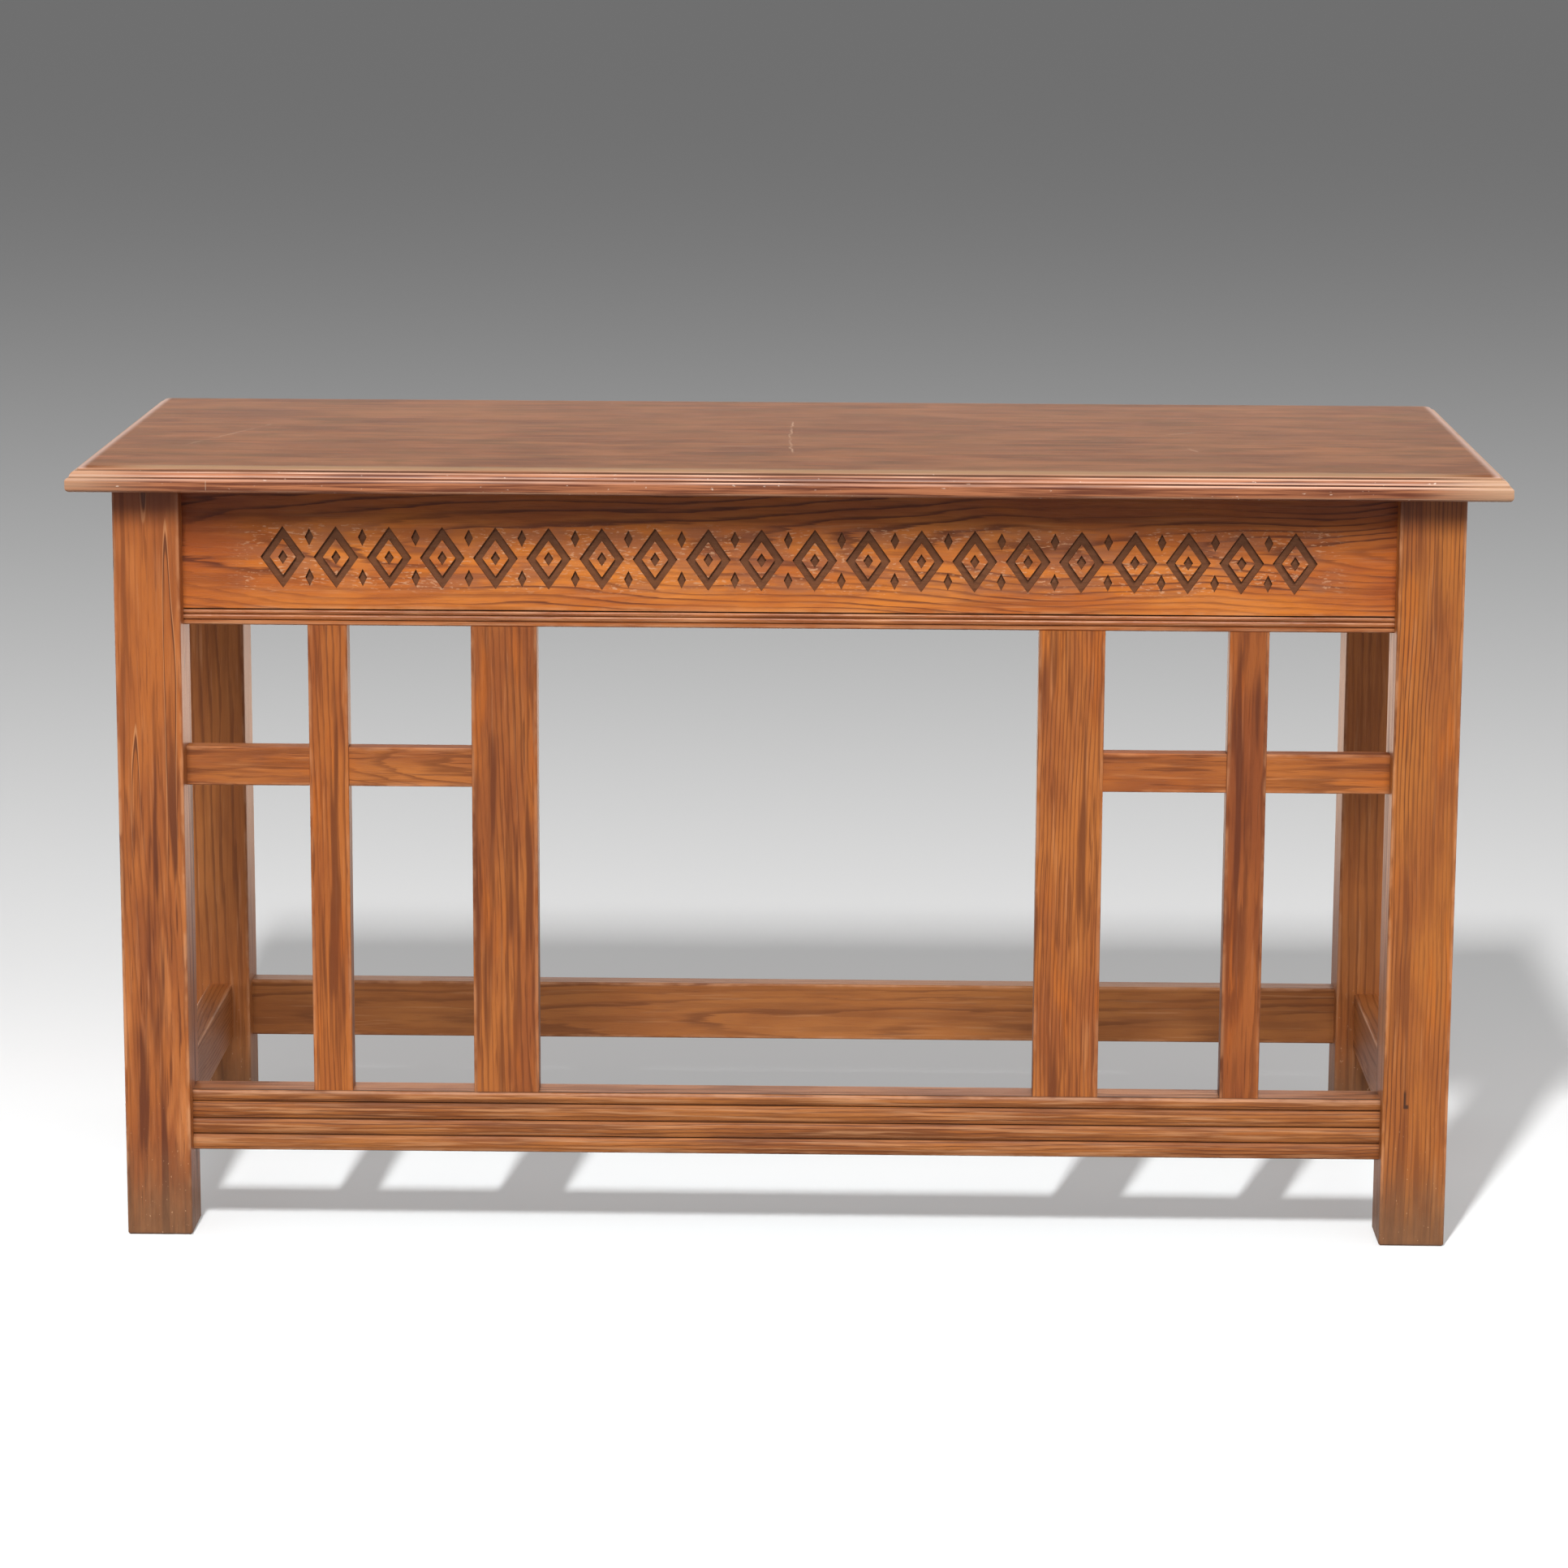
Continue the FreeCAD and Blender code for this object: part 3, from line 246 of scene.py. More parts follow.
def varnished(g, material, colour, roughness, height, depth, coat):
    """Ends a material in a wood shader; coat is the weight of the varnish."""
    bump = g.node("ShaderNodeBump", None, {"Strength": 0.6, "Distance": depth, "Height": height})
    shader = g.node("ShaderNodeBsdfPrincipled", None, {
        "Base Color": colour,
        "Roughness": roughness,
        "Normal": bump.outputs[0],
        "Specular IOR Level": 0.22,
        "Coat Weight": coat,
        "Coat Roughness": 0.32,
    })
    g.node("ShaderNodeOutputMaterial", None, {"Surface": shader.outputs[0]})
    return material


ARRIS_WEAR = 4.5 * MM


def stained_oak(node, seed, cut, finish, shade, extra):
    """Stained oak for one piece, worn pale on its long edges.

    shade multiplies the colour, partly the piece's own tone and partly painted light and shade;
    extra adds the piece's own marks.
    """
    low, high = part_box(node)
    material, g, place, uvw, grain = start_material("oak_" + node, low, high, seed)
    colour, height, dark = oak_layers(g, uvw, grain, cut, finish)
    colour = g.mix(1.0, colour, rgb(*shade), "MULTIPLY")
    patches = g.step(g.noise(grain, (60, 60, 22), 3.0, 0.6), 0.38, 0.62)
    worn = g.mul(g.mul(arris(g, uvw, low, high, ARRIS_WEAR), patches), finish.wear)
    colour = g.mix(worn, colour, finish.worn)
    roughness = g.add(finish.roughness, g.mul(dark, 0.16))
    roughness = g.add(roughness, g.mul(worn, 0.18))
    if extra is not None:
        colour, roughness, height = extra(g, place, grain, (low, high), colour, roughness, height)
    return varnished(g, material, colour, roughness, height, 0.35 * MM, 0.08)


# ---------------------------------------------------------------- marks of single pieces

def seasoning_checks(g, grain, colour, strength):
    """Thin cracks along the grain, dark with one pale lip."""
    offset = g.sub(g.noise(grain, CHECKS), 0.5)
    patches = g.step(g.noise(grain, CHECK_PATCHES), 0.44, 0.56)
    crack = g.step(g.math("ABSOLUTE", g.add(offset, 0.006)), 0.010, 0.003)
    lip = g.step(g.math("ABSOLUTE", g.sub(offset, 0.006)), 0.007, 0.002)
    patches = g.mul(patches, strength)
    colour = g.mix(g.mul(g.mul(lip, patches), 0.5), colour, rgb(0.56, 0.28, 0.13))
    return g.mix(g.mul(crack, patches), colour, rgb(0.075, 0.020, 0.007))


def worn_shaded_leg(g, place, grain, corners, colour, roughness, height):
    """Grey scuffing near the floor, painted shade under the top and a painted contact shadow at
    the sole.
    """
    z = g.split(place)[2]
    # Painted shade: darker just under the overhang of the top, and a painted contact shadow along
    # the sole.
    painted_shade = g.math("MAXIMUM", g.step(z, 0.698, 0.724), g.step(z, 0.006, 0.001))
    colour = g.mix(painted_shade, colour, rgb(0.55, 0.48, 0.50), "MULTIPLY")
    ragged = g.add(z, g.mul(g.sub(g.noise(grain, (60, 60, 20), 3.0, 0.6), 0.5), 0.07))
    scuff = g.mul(g.step(ragged, 0.110, 0.004), 0.80)
    grey = g.mix(g.noise(grain, (150, 150, 40), 3.0, 0.6), rgb(0.070, 0.032, 0.015),
                 rgb(0.200, 0.098, 0.047))
    colour = g.mix(scuff, colour, grey)
    chips = g.mul(g.step(g.noise(grain, (420, 420, 230)), 0.68, 0.76), g.step(z, 0.20, 0.02))
    colour = g.mix(g.mul(chips, 0.6), colour, rgb(0.55, 0.34, 0.20))
    roughness = g.add(roughness, g.mul(scuff, 0.2))
    return colour, roughness, height


def checked_leg(g, place, grain, corners, colour, roughness, height):
    """A worn leg whose upper part is plainer and has opened along the grain."""
    z = g.split(place)[2]
    plain = g.mix(g.noise(grain, CLOUDS, 3.0, 0.6), rgb(0.400, 0.112, 0.018),
                  rgb(0.250, 0.068, 0.018))
    colour = g.mix(g.mul(g.step(z, 0.38, 0.58), 0.40), colour, plain)
    colour = seasoning_checks(g, grain, colour, g.mul(g.step(z, 0.30, 0.48), 0.8))
    return worn_shaded_leg(g, place, grain, corners, colour, roughness, height)


# In millimetres: the bruise's distance from the leg's left side, and the height of its lower end.
BRUISE_FROM_LEFT = 21.2
BRUISE_LOW = 138.0


def bruise_stroke(g, x, z, middle, half_width, low, high):
    """1 inside an upright stroke on a face, 0 outside; each limit is a pair, outer then inner."""
    beside = g.math("ABSOLUTE", g.sub(x, middle * MM))
    stroke = g.mul(g.step(beside, half_width[0] * MM, half_width[1] * MM),
                   g.step(z, low[0] * MM, low[1] * MM))
    return g.mul(stroke, g.step(z, high[0] * MM, high[1] * MM))


def bruised_leg(g, place, grain, corners, colour, roughness, height):
    """A worn leg with one small bruise low on its front face, a stem on a short foot."""
    colour, roughness, height = worn_shaded_leg(g, place, grain, corners, colour, roughness, height)
    xyz = g.split(place)
    x = g.sub(xyz[0], corners[0][0])
    z = g.sub(xyz[2], BRUISE_LOW * MM)
    stem = bruise_stroke(g, x, z, BRUISE_FROM_LEFT, (1.6, 0.6), (0.5, 1.5), (21.0, 15.0))
    foot = bruise_stroke(g, x, z, BRUISE_FROM_LEFT + 1.2, (3.2, 1.6), (0.0, 1.2), (5.5, 3.5))
    front = g.step(xyz[1], corners[0][1] + 4.0 * MM, corners[0][1] + 2.0 * MM)
    bruise = g.mul(g.mul(g.math("MAXIMUM", stem, foot), front), 0.9)
    return g.mix(bruise, colour, rgb(0.030, 0.010, 0.005)), roughness, height


def carved_face(g, place, grain, corners, colour, roughness, height):
    """Dark, dull stain in the cuts of the frieze, brown tint and pale chips between them, darker
    ends, painted shade along the top.
    """
    low = corners[0]
    xyz = g.split(place)
    cut_in = g.step(xyz[1], low[1] + 0.3 * MM, low[1] + 1.6 * MM)
    front_half = g.step(xyz[1], low[1] + 5.5 * MM, low[1] + 4.5 * MM)
    from_bottom = g.sub(xyz[2], low[2])
    in_band = g.mul(g.step(from_bottom, 0.014, 0.022), g.step(from_bottom, 0.086, 0.078))
    from_middle = g.math("ABSOLUTE", xyz[0])
    in_band = g.mul(in_band, g.step(from_middle, 0.545, 0.510))
    # Darker towards both ends of the board.
    ends = g.step(from_middle, 0.430, 0.560)
    colour = g.mix(ends, colour, rgb(0.80, 0.70, 0.70), "MULTIPLY")
    # Painted shade: the upper edge of the board, under the overhang of the top, is darkened.
    painted_shade = g.step(from_bottom, 0.084, 0.100)
    colour = g.mix(painted_shade, colour, rgb(0.66, 0.58, 0.62), "MULTIPLY")
    tint = g.step(g.noise(grain, (60, 60, 24), 2.0, 0.6), 0.42, 0.62)
    colour = g.mix(g.mul(g.mul(tint, in_band), 0.55), colour, rgb(0.290, 0.100, 0.045))
    chips = g.step(g.noise(grain, (520, 520, 150), 2.0, 0.55), 0.57, 0.66)
    chip_patches = g.step(g.noise(grain, (45, 45, 18)), 0.42, 0.56)
    chips = g.mul(g.mul(g.mul(chips, chip_patches), in_band), 0.62)
    colour = g.mix(chips, colour, rgb(0.62, 0.34, 0.19))
    stain = g.mul(g.mul(cut_in, front_half), in_band)
    murk = g.mix(g.noise(grain, (160, 160, 60), 3.0, 0.6), rgb(0.075, 0.026, 0.010),
                 rgb(0.165, 0.064, 0.027))
    colour = g.mix(g.mul(stain, 0.92), colour, murk)
    roughness = g.add(roughness, g.mul(stain, 0.25))
    return colour, roughness, g.add(height, g.mul(chips, 0.5))


def shaded_hollows(shallow, deep):
    """Painted shade between two depths behind the foremost line of a moulded face, and paler proud
    faces of rubbed wear and painted highlight.
    """
    def extra(g, place, grain, corners, colour, roughness, height):
        y = g.split(place)[1]
        front = corners[0][1]
        # Painted shade darkens the hollows between the two depths.
        painted_recess_shade = g.step(y, front + shallow * MM, front + deep * MM)
        painted_recess_shade = g.mul(painted_recess_shade, g.step(y, front + (deep + 3.0) * MM, front + (deep + 2.0) * MM))
        colour = g.mix(g.mul(painted_recess_shade, 0.85), colour, rgb(0.040, 0.013, 0.006))
        # The proud faces are paled in patches: rubbed wear, and painted highlight as well.
        proud = g.step(y, front + shallow * MM, front + 0.2 * MM)
        rubbed_and_highlight = g.mul(proud, g.step(g.noise(grain, (300, 300, 9), 3.0, 0.6), 0.48, 0.66))
        colour = g.mix(g.mul(rubbed_and_highlight, 0.50), colour, rgb(0.58, 0.28, 0.13))
        return colour, g.add(roughness, g.mul(painted_recess_shade, 0.2)), height
    return extra


# ---------------------------------------------------------------- finishes

GLOW = rgb(0.520, 0.135, 0.014)
LEG = Finish(
    light=rgb(0.420, 0.132, 0.030), deep=rgb(0.275, 0.079, 0.021), dark=rgb(0.085, 0.018, 0.005),
    glow=rgb(0.560, 0.205, 0.062), line=0.40, streak=0.84, glint=0.60, wear=0.55,
    worn=rgb(0.56, 0.260, 0.120), roughness=0.42)
FINE_LEG = Finish(
    light=rgb(0.425, 0.137, 0.028), deep=rgb(0.325, 0.095, 0.022), dark=rgb(0.105, 0.024, 0.007),
    glow=GLOW, line=0.84, streak=0.56, glint=0.46, wear=0.55, worn=rgb(0.54, 0.240, 0.105),
    roughness=0.42)
UPRIGHT = Finish(
    light=rgb(0.400, 0.128, 0.030), deep=rgb(0.275, 0.078, 0.021), dark=rgb(0.090, 0.020, 0.006),
    glow=GLOW, line=0.60, streak=0.74, glint=0.40, wear=0.45, worn=rgb(0.54, 0.240, 0.110),
    roughness=0.44)
APRON = Finish(
    light=rgb(0.600, 0.190, 0.034), deep=rgb(0.440, 0.115, 0.020), dark=rgb(0.125, 0.030, 0.010),
    glow=rgb(0.660, 0.195, 0.018), line=0.92, streak=0.34, glint=0.50, wear=0.40,
    worn=rgb(0.62, 0.27, 0.11), roughness=0.40)
MOULDING = Finish(
    light=rgb(0.420, 0.135, 0.038), deep=rgb(0.300, 0.088, 0.025), dark=rgb(0.090, 0.022, 0.008),
    glow=GLOW, line=0.40, streak=0.40, glint=0.20, wear=0.30, worn=rgb(0.64, 0.32, 0.17),
    roughness=0.34)
RAIL = Finish(
    light=rgb(0.385, 0.132, 0.036), deep=rgb(0.265, 0.080, 0.021), dark=rgb(0.070, 0.017, 0.006),
    glow=rgb(0.450, 0.142, 0.030), line=0.72, streak=0.50, glint=0.30, wear=0.45,
    worn=rgb(0.55, 0.27, 0.14), roughness=0.44)
INNER_RAIL = Finish(
    light=rgb(0.370, 0.128, 0.036), deep=rgb(0.285, 0.090, 0.024), dark=rgb(0.110, 0.028, 0.009),
    glow=rgb(0.420, 0.135, 0.030), line=0.62, streak=0.26, glint=0.25, wear=0.5,
    worn=rgb(0.50, 0.24, 0.12), roughness=0.46)

FLAT_SAWN = Cut(ring=5.0, pith_u=6, pith_v=34, tilt_u=0.004, tilt_v=0.036, wave=34)
FLAT_SAWN_LOW = Cut(ring=4.6, pith_u=-14, pith_v=42, tilt_u=0.010, tilt_v=0.020, wave=18)
BROAD_RIFT = Cut(ring=5.2, pith_u=60, pith_v=70, tilt_u=0.008, tilt_v=0.004, wave=5)
RIFT_SAWN = Cut(ring=3.8, pith_u=70, pith_v=60, tilt_u=0.012, tilt_v=0.008, wave=16)
QUARTER_SAWN = Cut(ring=3.8, pith_u=95, pith_v=12, tilt_u=-0.010, tilt_v=0.004, wave=14)

PLAIN = (1.0, 1.0, 1.0)
# The fourth column is each piece's shade: partly its own tone, partly painted light and shade. The
# back left leg is painted lighter and the front legs darker, to even out how the lamps fall on
# them.
MATERIALS = (
    ("leg_front_left", RIFT_SAWN, LEG, (0.80, 0.77, 0.76), checked_leg),
    ("leg_front_right", QUARTER_SAWN, FINE_LEG, (0.80, 0.81, 0.76), bruised_leg),
    ("leg_back_left", BROAD_RIFT, INNER_RAIL, (1.10, 1.10, 1.05), worn_shaded_leg),
    ("leg_back_right", BROAD_RIFT, INNER_RAIL, (0.98, 0.95, 0.88), worn_shaded_leg),
    ("apron_front", FLAT_SAWN, APRON, PLAIN, carved_face),
    ("apron_moulding", QUARTER_SAWN, MOULDING, PLAIN, shaded_hollows(1.3, 2.3)),
    ("apron_back", FLAT_SAWN_LOW, APRON, PLAIN, None),
    ("apron_left", FLAT_SAWN_LOW, APRON, (0.90, 0.90, 0.95), None),
    ("apron_right", FLAT_SAWN, APRON, (0.92, 0.90, 0.95), None),
    ("rail_front", QUARTER_SAWN, RAIL, (0.94, 0.94, 0.86), shaded_hollows(1.5, 2.6)),
    ("rail_back", FLAT_SAWN_LOW, INNER_RAIL, (0.89, 0.93, 0.90), None),
    ("rail_left", RIFT_SAWN, INNER_RAIL, (0.92, 0.86, 0.72), None),
    ("rail_right", FLAT_SAWN_LOW, INNER_RAIL, (0.92, 0.86, 0.72), None),
    ("upright_wide_left", RIFT_SAWN, UPRIGHT, (0.98, 0.97, 0.93), None),
    ("upright_wide_right", QUARTER_SAWN, UPRIGHT, (1.08, 1.08, 1.00), None),
    ("upright_narrow_left", RIFT_SAWN, UPRIGHT, (1.02, 0.96, 0.85), None),
    ("upright_narrow_right", FLAT_SAWN_LOW, UPRIGHT, (0.82, 0.74, 0.72), None),
    ("cross_bar_left", FLAT_SAWN, UPRIGHT, (1.08, 1.10, 1.05), None),
    ("cross_bar_right", FLAT_SAWN_LOW, UPRIGHT, (1.00, 0.96, 0.87), None),
)


def assign(node, material):
    mesh_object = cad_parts[node]
    for slot in mesh_object.material_slots:
        slot.material = material
    if not mesh_object.material_slots:
        mesh_object.data.materials.append(material)


for seed, (node, cut, finish, shade, extra) in enumerate(MATERIALS, start=1):
    assign(node, stained_oak(node, seed, cut, finish, shade, extra))


# ---------------------------------------------------------------- top

TOP = Finish(
    light=rgb(0.325, 0.120, 0.040), deep=rgb(0.215, 0.073, 0.024), dark=rgb(0.080, 0.024, 0.009),
    glow=rgb(0.380, 0.120, 0.036), line=0.50, streak=0.44, glint=0.45,
    worn=rgb(0.42, 0.21, 0.12), roughness=0.34)
# Heights above the underside of the top, in millimetres, of the steps in its edge moulding and
# of the line where the moulding meets the flat.
LOWER_STEP = 13.5
UPPER_STEP = 19.8
FLAT_STARTS = 22.0
# Start, end and width in millimetres of each scratch.
SCRATCHES = (
    ((-594, -123), (-530, 54), 1.2),
    ((-2, -58), (-1, 104), 1.4),
    ((3, -154), (-2, -58), 1.4),
    ((-75, -101), (-17, -98), 1.8),
    ((353, -2), (410, 38), 1.6),
    ((391, -98), (397, -120), 2.0),
)


def scratch(g, spot, start, end, width):
    """1 on a fine line from start to end on the top, 0 off it."""
    start = Vector((start[0], start[1], 0.0)) * MM
    run = Vector((end[0], end[1], 0.0)) * MM - start
    local = g.vector("SUBTRACT", spot, tuple(start))
    share = g.vector("DOT_PRODUCT", local, tuple(run / run.length_squared))
    share = g.math("MINIMUM", g.math("MAXIMUM", share, 0.0), 1.0)
    scaled = g.node("ShaderNodeVectorMath", {"operation": "SCALE"},
                    {0: tuple(run), "Scale": share}).outputs[0]
    away = g.vector("LENGTH", g.vector("SUBTRACT", local, scaled))
    return g.step(away, width, width * 0.3)


def all_scratches(g, flat, grain):
    """Every scratch of the top, wavering and broken up along its way."""
    waver = g.mul(g.sub(g.noise(flat, (30, 30, 30)), 0.5), 0.012)
    spot = g.vector("ADD", flat, g.combine(waver, g.mul(waver, 0.5), 0.0))
    lines = 0.0
    for start, end, width in SCRATCHES:
        lines = g.math("MAXIMUM", scratch(g, spot, start, end, width * MM), lines)
    return g.mul(lines, g.step(g.noise(grain, (28, 28, 28)), 0.30, 0.60))


def moulded_edge_colour(g, grain, x, height_mm):
    """Streaky red-brown wood with painted shade in the corners of the steps and pale arrises,
    rubbed wear with painted highlight.
    """
    streaks = g.noise(grain, (330, 330, 7), 3.0, 0.65)
    patches = g.step(g.noise(grain, (30, 30, 5), 2.0, 0.6), 0.38, 0.62)
    colour = g.mix(g.step(streaks, 0.36, 0.64), rgb(0.125, 0.032, 0.013),
                   rgb(0.410, 0.150, 0.066))
    foot = g.mul(g.step(height_mm, 1.2, 1.8), g.step(height_mm, 3.4, 2.6))
    colour = g.mix(g.mul(foot, g.mul(patches, 0.55)), colour, rgb(0.60, 0.33, 0.20))
    for step in (LOWER_STEP, UPPER_STEP):
        above = g.sub(height_mm, step)
        # Painted shade in the inner corner of each step.
        painted_recess_shade = g.mul(g.step(above, -0.2, 0.1), g.step(above, 1.3, 0.7))
        painted_recess_shade = g.mul(painted_recess_shade, g.add(0.55, g.mul(patches, 0.43)))
        colour = g.mix(painted_recess_shade, colour, rgb(0.045, 0.015, 0.010))
        # Pale lines at the arrises beside each step: rubbed wear, and painted highlight along the
        # rounds.
        rubbed_and_highlight = g.mul(g.step(above, -1.6, -0.9), g.step(above, 0.0, -0.3))
        lip = g.mul(g.step(above, 1.4, 1.8), g.step(above, 3.0, 2.2))
        rubbed_and_highlight = g.mul(g.math("MAXIMUM", rubbed_and_highlight, lip), g.add(0.30, g.mul(patches, 0.65)))
        colour = g.mix(rubbed_and_highlight, colour, rgb(0.70, 0.41, 0.29))
    ends = g.mul(g.step(g.math("ABSOLUTE", x), 0.58, 0.675), g.add(0.40, g.mul(patches, 0.45)))
    colour = g.mix(ends, colour, rgb(0.500, 0.300, 0.185))
    chips = g.step(g.noise(grain, (300, 300, 160)), 0.70, 0.77)
    return g.mix(g.mul(chips, 0.7), colour, rgb(0.70, 0.55, 0.45))


def top_material(node, seed):
    """The worn top: hazy, smoky and scratched, paler along its rims, with its moulded edge."""
    low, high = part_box(node)
    material, g, place, uvw, grain = start_material("oak_" + node, low, high, seed)
    cut = Cut(
        ring=6.0, pith_u=10 * (seed % 3 - 1), pith_v=-38, tilt_u=0.006, tilt_v=0.022, wave=30)
    colour, height, _ = oak_layers(g, uvw, grain, cut, TOP)
    xyz = g.split(place)
    flat = g.vector("MULTIPLY", place, (1, 1, 0))
    haze = g.noise(flat, (7, 10, 1), 4.0, 0.62)
    colour = g.mix(g.mul(g.step(haze, 0.40, 0.64), 0.42), colour, rgb(0.350, 0.160, 0.082))
    smoke = g.step(g.noise(flat, (9, 34, 1), 4.0, 0.66), 0.48, 0.66)
    colour = g.mix(g.mul(smoke, 0.60), colour, rgb(0.165, 0.076, 0.028))
    blush = g.step(g.noise(flat, (16, 60, 1), 3.0, 0.62), 0.54, 0.68)
    colour = g.mix(g.mul(blush, 0.35), colour, rgb(0.360, 0.135, 0.066))
    height_mm = g.mul(g.sub(xyz[2], low[2]), 1.0 / MM)
    on_edge = g.step(height_mm, FLAT_STARTS + 0.6, FLAT_STARTS - 0.6)
    colour = g.mix(on_edge, colour, moulded_edge_colour(g, grain, xyz[0], height_mm))

    gap = g.sub(xyz[1], cad_box[0][1])
    ragged = g.add(gap, g.mul(g.sub(g.noise(grain, (25, 25, 12), 3.0, 0.6), 0.5), 0.010))
    rim = g.mul(g.step(ragged, 0.030, 0.019), g.step(gap, 0.010, 0.013))
    from_end = g.sub(cad_box[1][0], g.math("ABSOLUTE", xyz[0]))
    rim = g.mul(g.mul(rim, g.step(from_end, 0.02, 0.09)), 0.65)
    colour = g.mix(rim, colour, rgb(0.390, 0.245, 0.140))
    to_back = g.sub(cad_box[1][1], xyz[1])
    far_rim = g.step(g.math("MINIMUM", to_back, from_end), 0.0210, 0.0130)
    on_top = g.step(height_mm, FLAT_STARTS - 0.8, FLAT_STARTS)
    colour = g.mix(g.mul(g.mul(far_rim, on_top), 0.75), colour, rgb(0.600, 0.390, 0.320))

    lines = g.mul(all_scratches(g, flat, grain), 0.60)
    colour = g.mix(lines, colour, rgb(0.58, 0.38, 0.27))
    specks = g.mul(g.step(g.noise(flat, (230, 230, 1)), 0.755, 0.785), 0.6)
    colour = g.mix(specks, colour, rgb(0.62, 0.46, 0.34))
    roughness = g.add(g.add(TOP.roughness, g.mul(haze, 0.24)), g.mul(lines, 0.3))
    return varnished(g, material, colour, roughness, height, 0.15 * MM, 0.10)


for number in range(1, 5):
    node = f"top_board_{number}"
    assign(node, top_material(node, 40 + number))


# ---------------------------------------------------------------- hidden pieces

BARE = Finish(
    light=rgb(0.52, 0.34, 0.17), deep=rgb(0.42, 0.25, 0.12), dark=rgb(0.22, 0.11, 0.045),
    glow=rgb(0.56, 0.38, 0.20), line=0.5, streak=0.25, glint=0.2,
    worn=rgb(0.60, 0.44, 0.26), roughness=0.62)
DOWEL = Finish(
    light=rgb(0.58, 0.42, 0.25), deep=rgb(0.50, 0.34, 0.19), dark=rgb(0.30, 0.18, 0.09),
    glow=rgb(0.60, 0.44, 0.27), line=0.3, streak=0.15, glint=0.2,
    worn=rgb(0.62, 0.48, 0.30), roughness=0.60)


def bare_wood(node, seed, finish):
    """Unstained wood without varnish."""
    low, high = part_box(node)
    material, g, _, uvw, grain = start_material("bare_" + node, low, high, seed)
    colour, height, dark = oak_layers(g, uvw, grain, RIFT_SAWN, finish)
    roughness = g.add(finish.roughness, g.mul(dark, 0.2))
    return varnished(g, material, colour, roughness, height, 0.3 * MM, 0.0)


def screw_steel():
    """Dull steel with darker spots."""
    low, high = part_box("top_screws")
    material, g, place, _, _ = start_material("screw_steel", low, high, 90)
    spots = g.noise(place, (900, 900, 900), 3.0, 0.6)
    colour = g.mix(g.step(spots, 0.45, 0.65), rgb(0.36, 0.35, 0.33), rgb(0.20, 0.15, 0.11))
    bump = g.node("ShaderNodeBump", None, {"Strength": 0.4, "Distance": 0.1 * MM, "Height": spots})
    shader = g.node("ShaderNodeBsdfPrincipled", None, {
        "Base Color": colour,
        "Metallic": 1.0,
        "Roughness": g.add(0.35, g.mul(spots, 0.3)),
        "Normal": bump.outputs[0],
    })
    g.node("ShaderNodeOutputMaterial", None, {"Surface": shader.outputs[0]})
    return material


BARE_PIECES = (
    "bearer_left", "bearer_right", "corner_block_front_left", "corner_block_front_right",
    "corner_block_back_right", "corner_block_back_left")
for seed, node in enumerate(BARE_PIECES, start=60):
    assign(node, bare_wood(node, seed, BARE))
dowel_material = bare_wood("apron_dowels", 80, DOWEL)
for node in ("apron_dowels", "rail_dowels", "cross_bar_dowels", "upright_foot_dowels",
             "upright_head_dowels", "bearer_dowels"):
    assign(node, dowel_material)
assign("top_screws", screw_steel())


# ---------------------------------------------------------------- floor, light, camera

# The floor runs back into the backdrop. Its tone is FLOOR_ALBEDO times BACKDROP_TONE far away
# and times BACKDROP_TONE + FLOOR_RISE at the table, and fades over BACKDROP_REACH metres. In
# front of the table it is paler by NEAR_RISE, painted light against the shade that the table
# casts on the floor there.
FLOOR_ALBEDO = 0.785
BACKDROP_TONE = 0.152
FLOOR_RISE = 0.823
BACKDROP_REACH = 3.273
BACKDROP_CURVE = 0.93
NEAR_RISE = 0.12
FLOOR_HALF = 150.0
# The floor's main light is an upright column of lamps, near enough for the shadows to fan out.
# A tall narrow light blurs the shadows of level edges more than those of upright ones. It
# doesn't fall off with distance, and the floor's tone evens out what its slant changes.
LAMP_PLACE = Vector((-0.70, -4.40, 5.15))
LAMP_COUNT = 6
LAMP_SPACING = 0.22
LAMP_RADIUS = 0.15
LAMP_STRENGTH = 2.65
FLOOR_FILL = 0.85
WORLD_LIGHT = 1.34
SOFT_LIGHT = FLOOR_FILL + WORLD_LIGHT
MIDDLE_LIGHT = LAMP_STRENGTH * LAMP_PLACE.z / LAMP_PLACE.length + SOFT_LIGHT
floor_mesh = bpy.data.meshes.new("floor")
floor_mesh.from_pydata([
    (-FLOOR_HALF, -FLOOR_HALF, 0.0), (FLOOR_HALF, -FLOOR_HALF, 0.0),
    (FLOOR_HALF, FLOOR_HALF, 0.0), (-FLOOR_HALF, FLOOR_HALF, 0.0),
], [], [(0, 1, 2, 3)])
floor = bpy.data.objects.new("floor", floor_mesh)
scene.collection.objects.link(floor)
floor.visible_diffuse = False
floor.visible_shadow = False
floor_material = bpy.data.materials.new("floor")
floor_material.use_nodes = True
g = Graph(floor_material.node_tree)
floor_place = g.node("ShaderNodeTexCoord").outputs["Object"]
floor_y = g.split(floor_place)[1]
back = g.math("MAXIMUM", floor_y, 0.0)
fall = g.math("POWER", g.math("DIVIDE", back, BACKDROP_REACH), BACKDROP_CURVE)
level = g.add(BACKDROP_TONE, g.mul(FLOOR_RISE, g.math("EXPONENT", g.mul(fall, -1.0))))
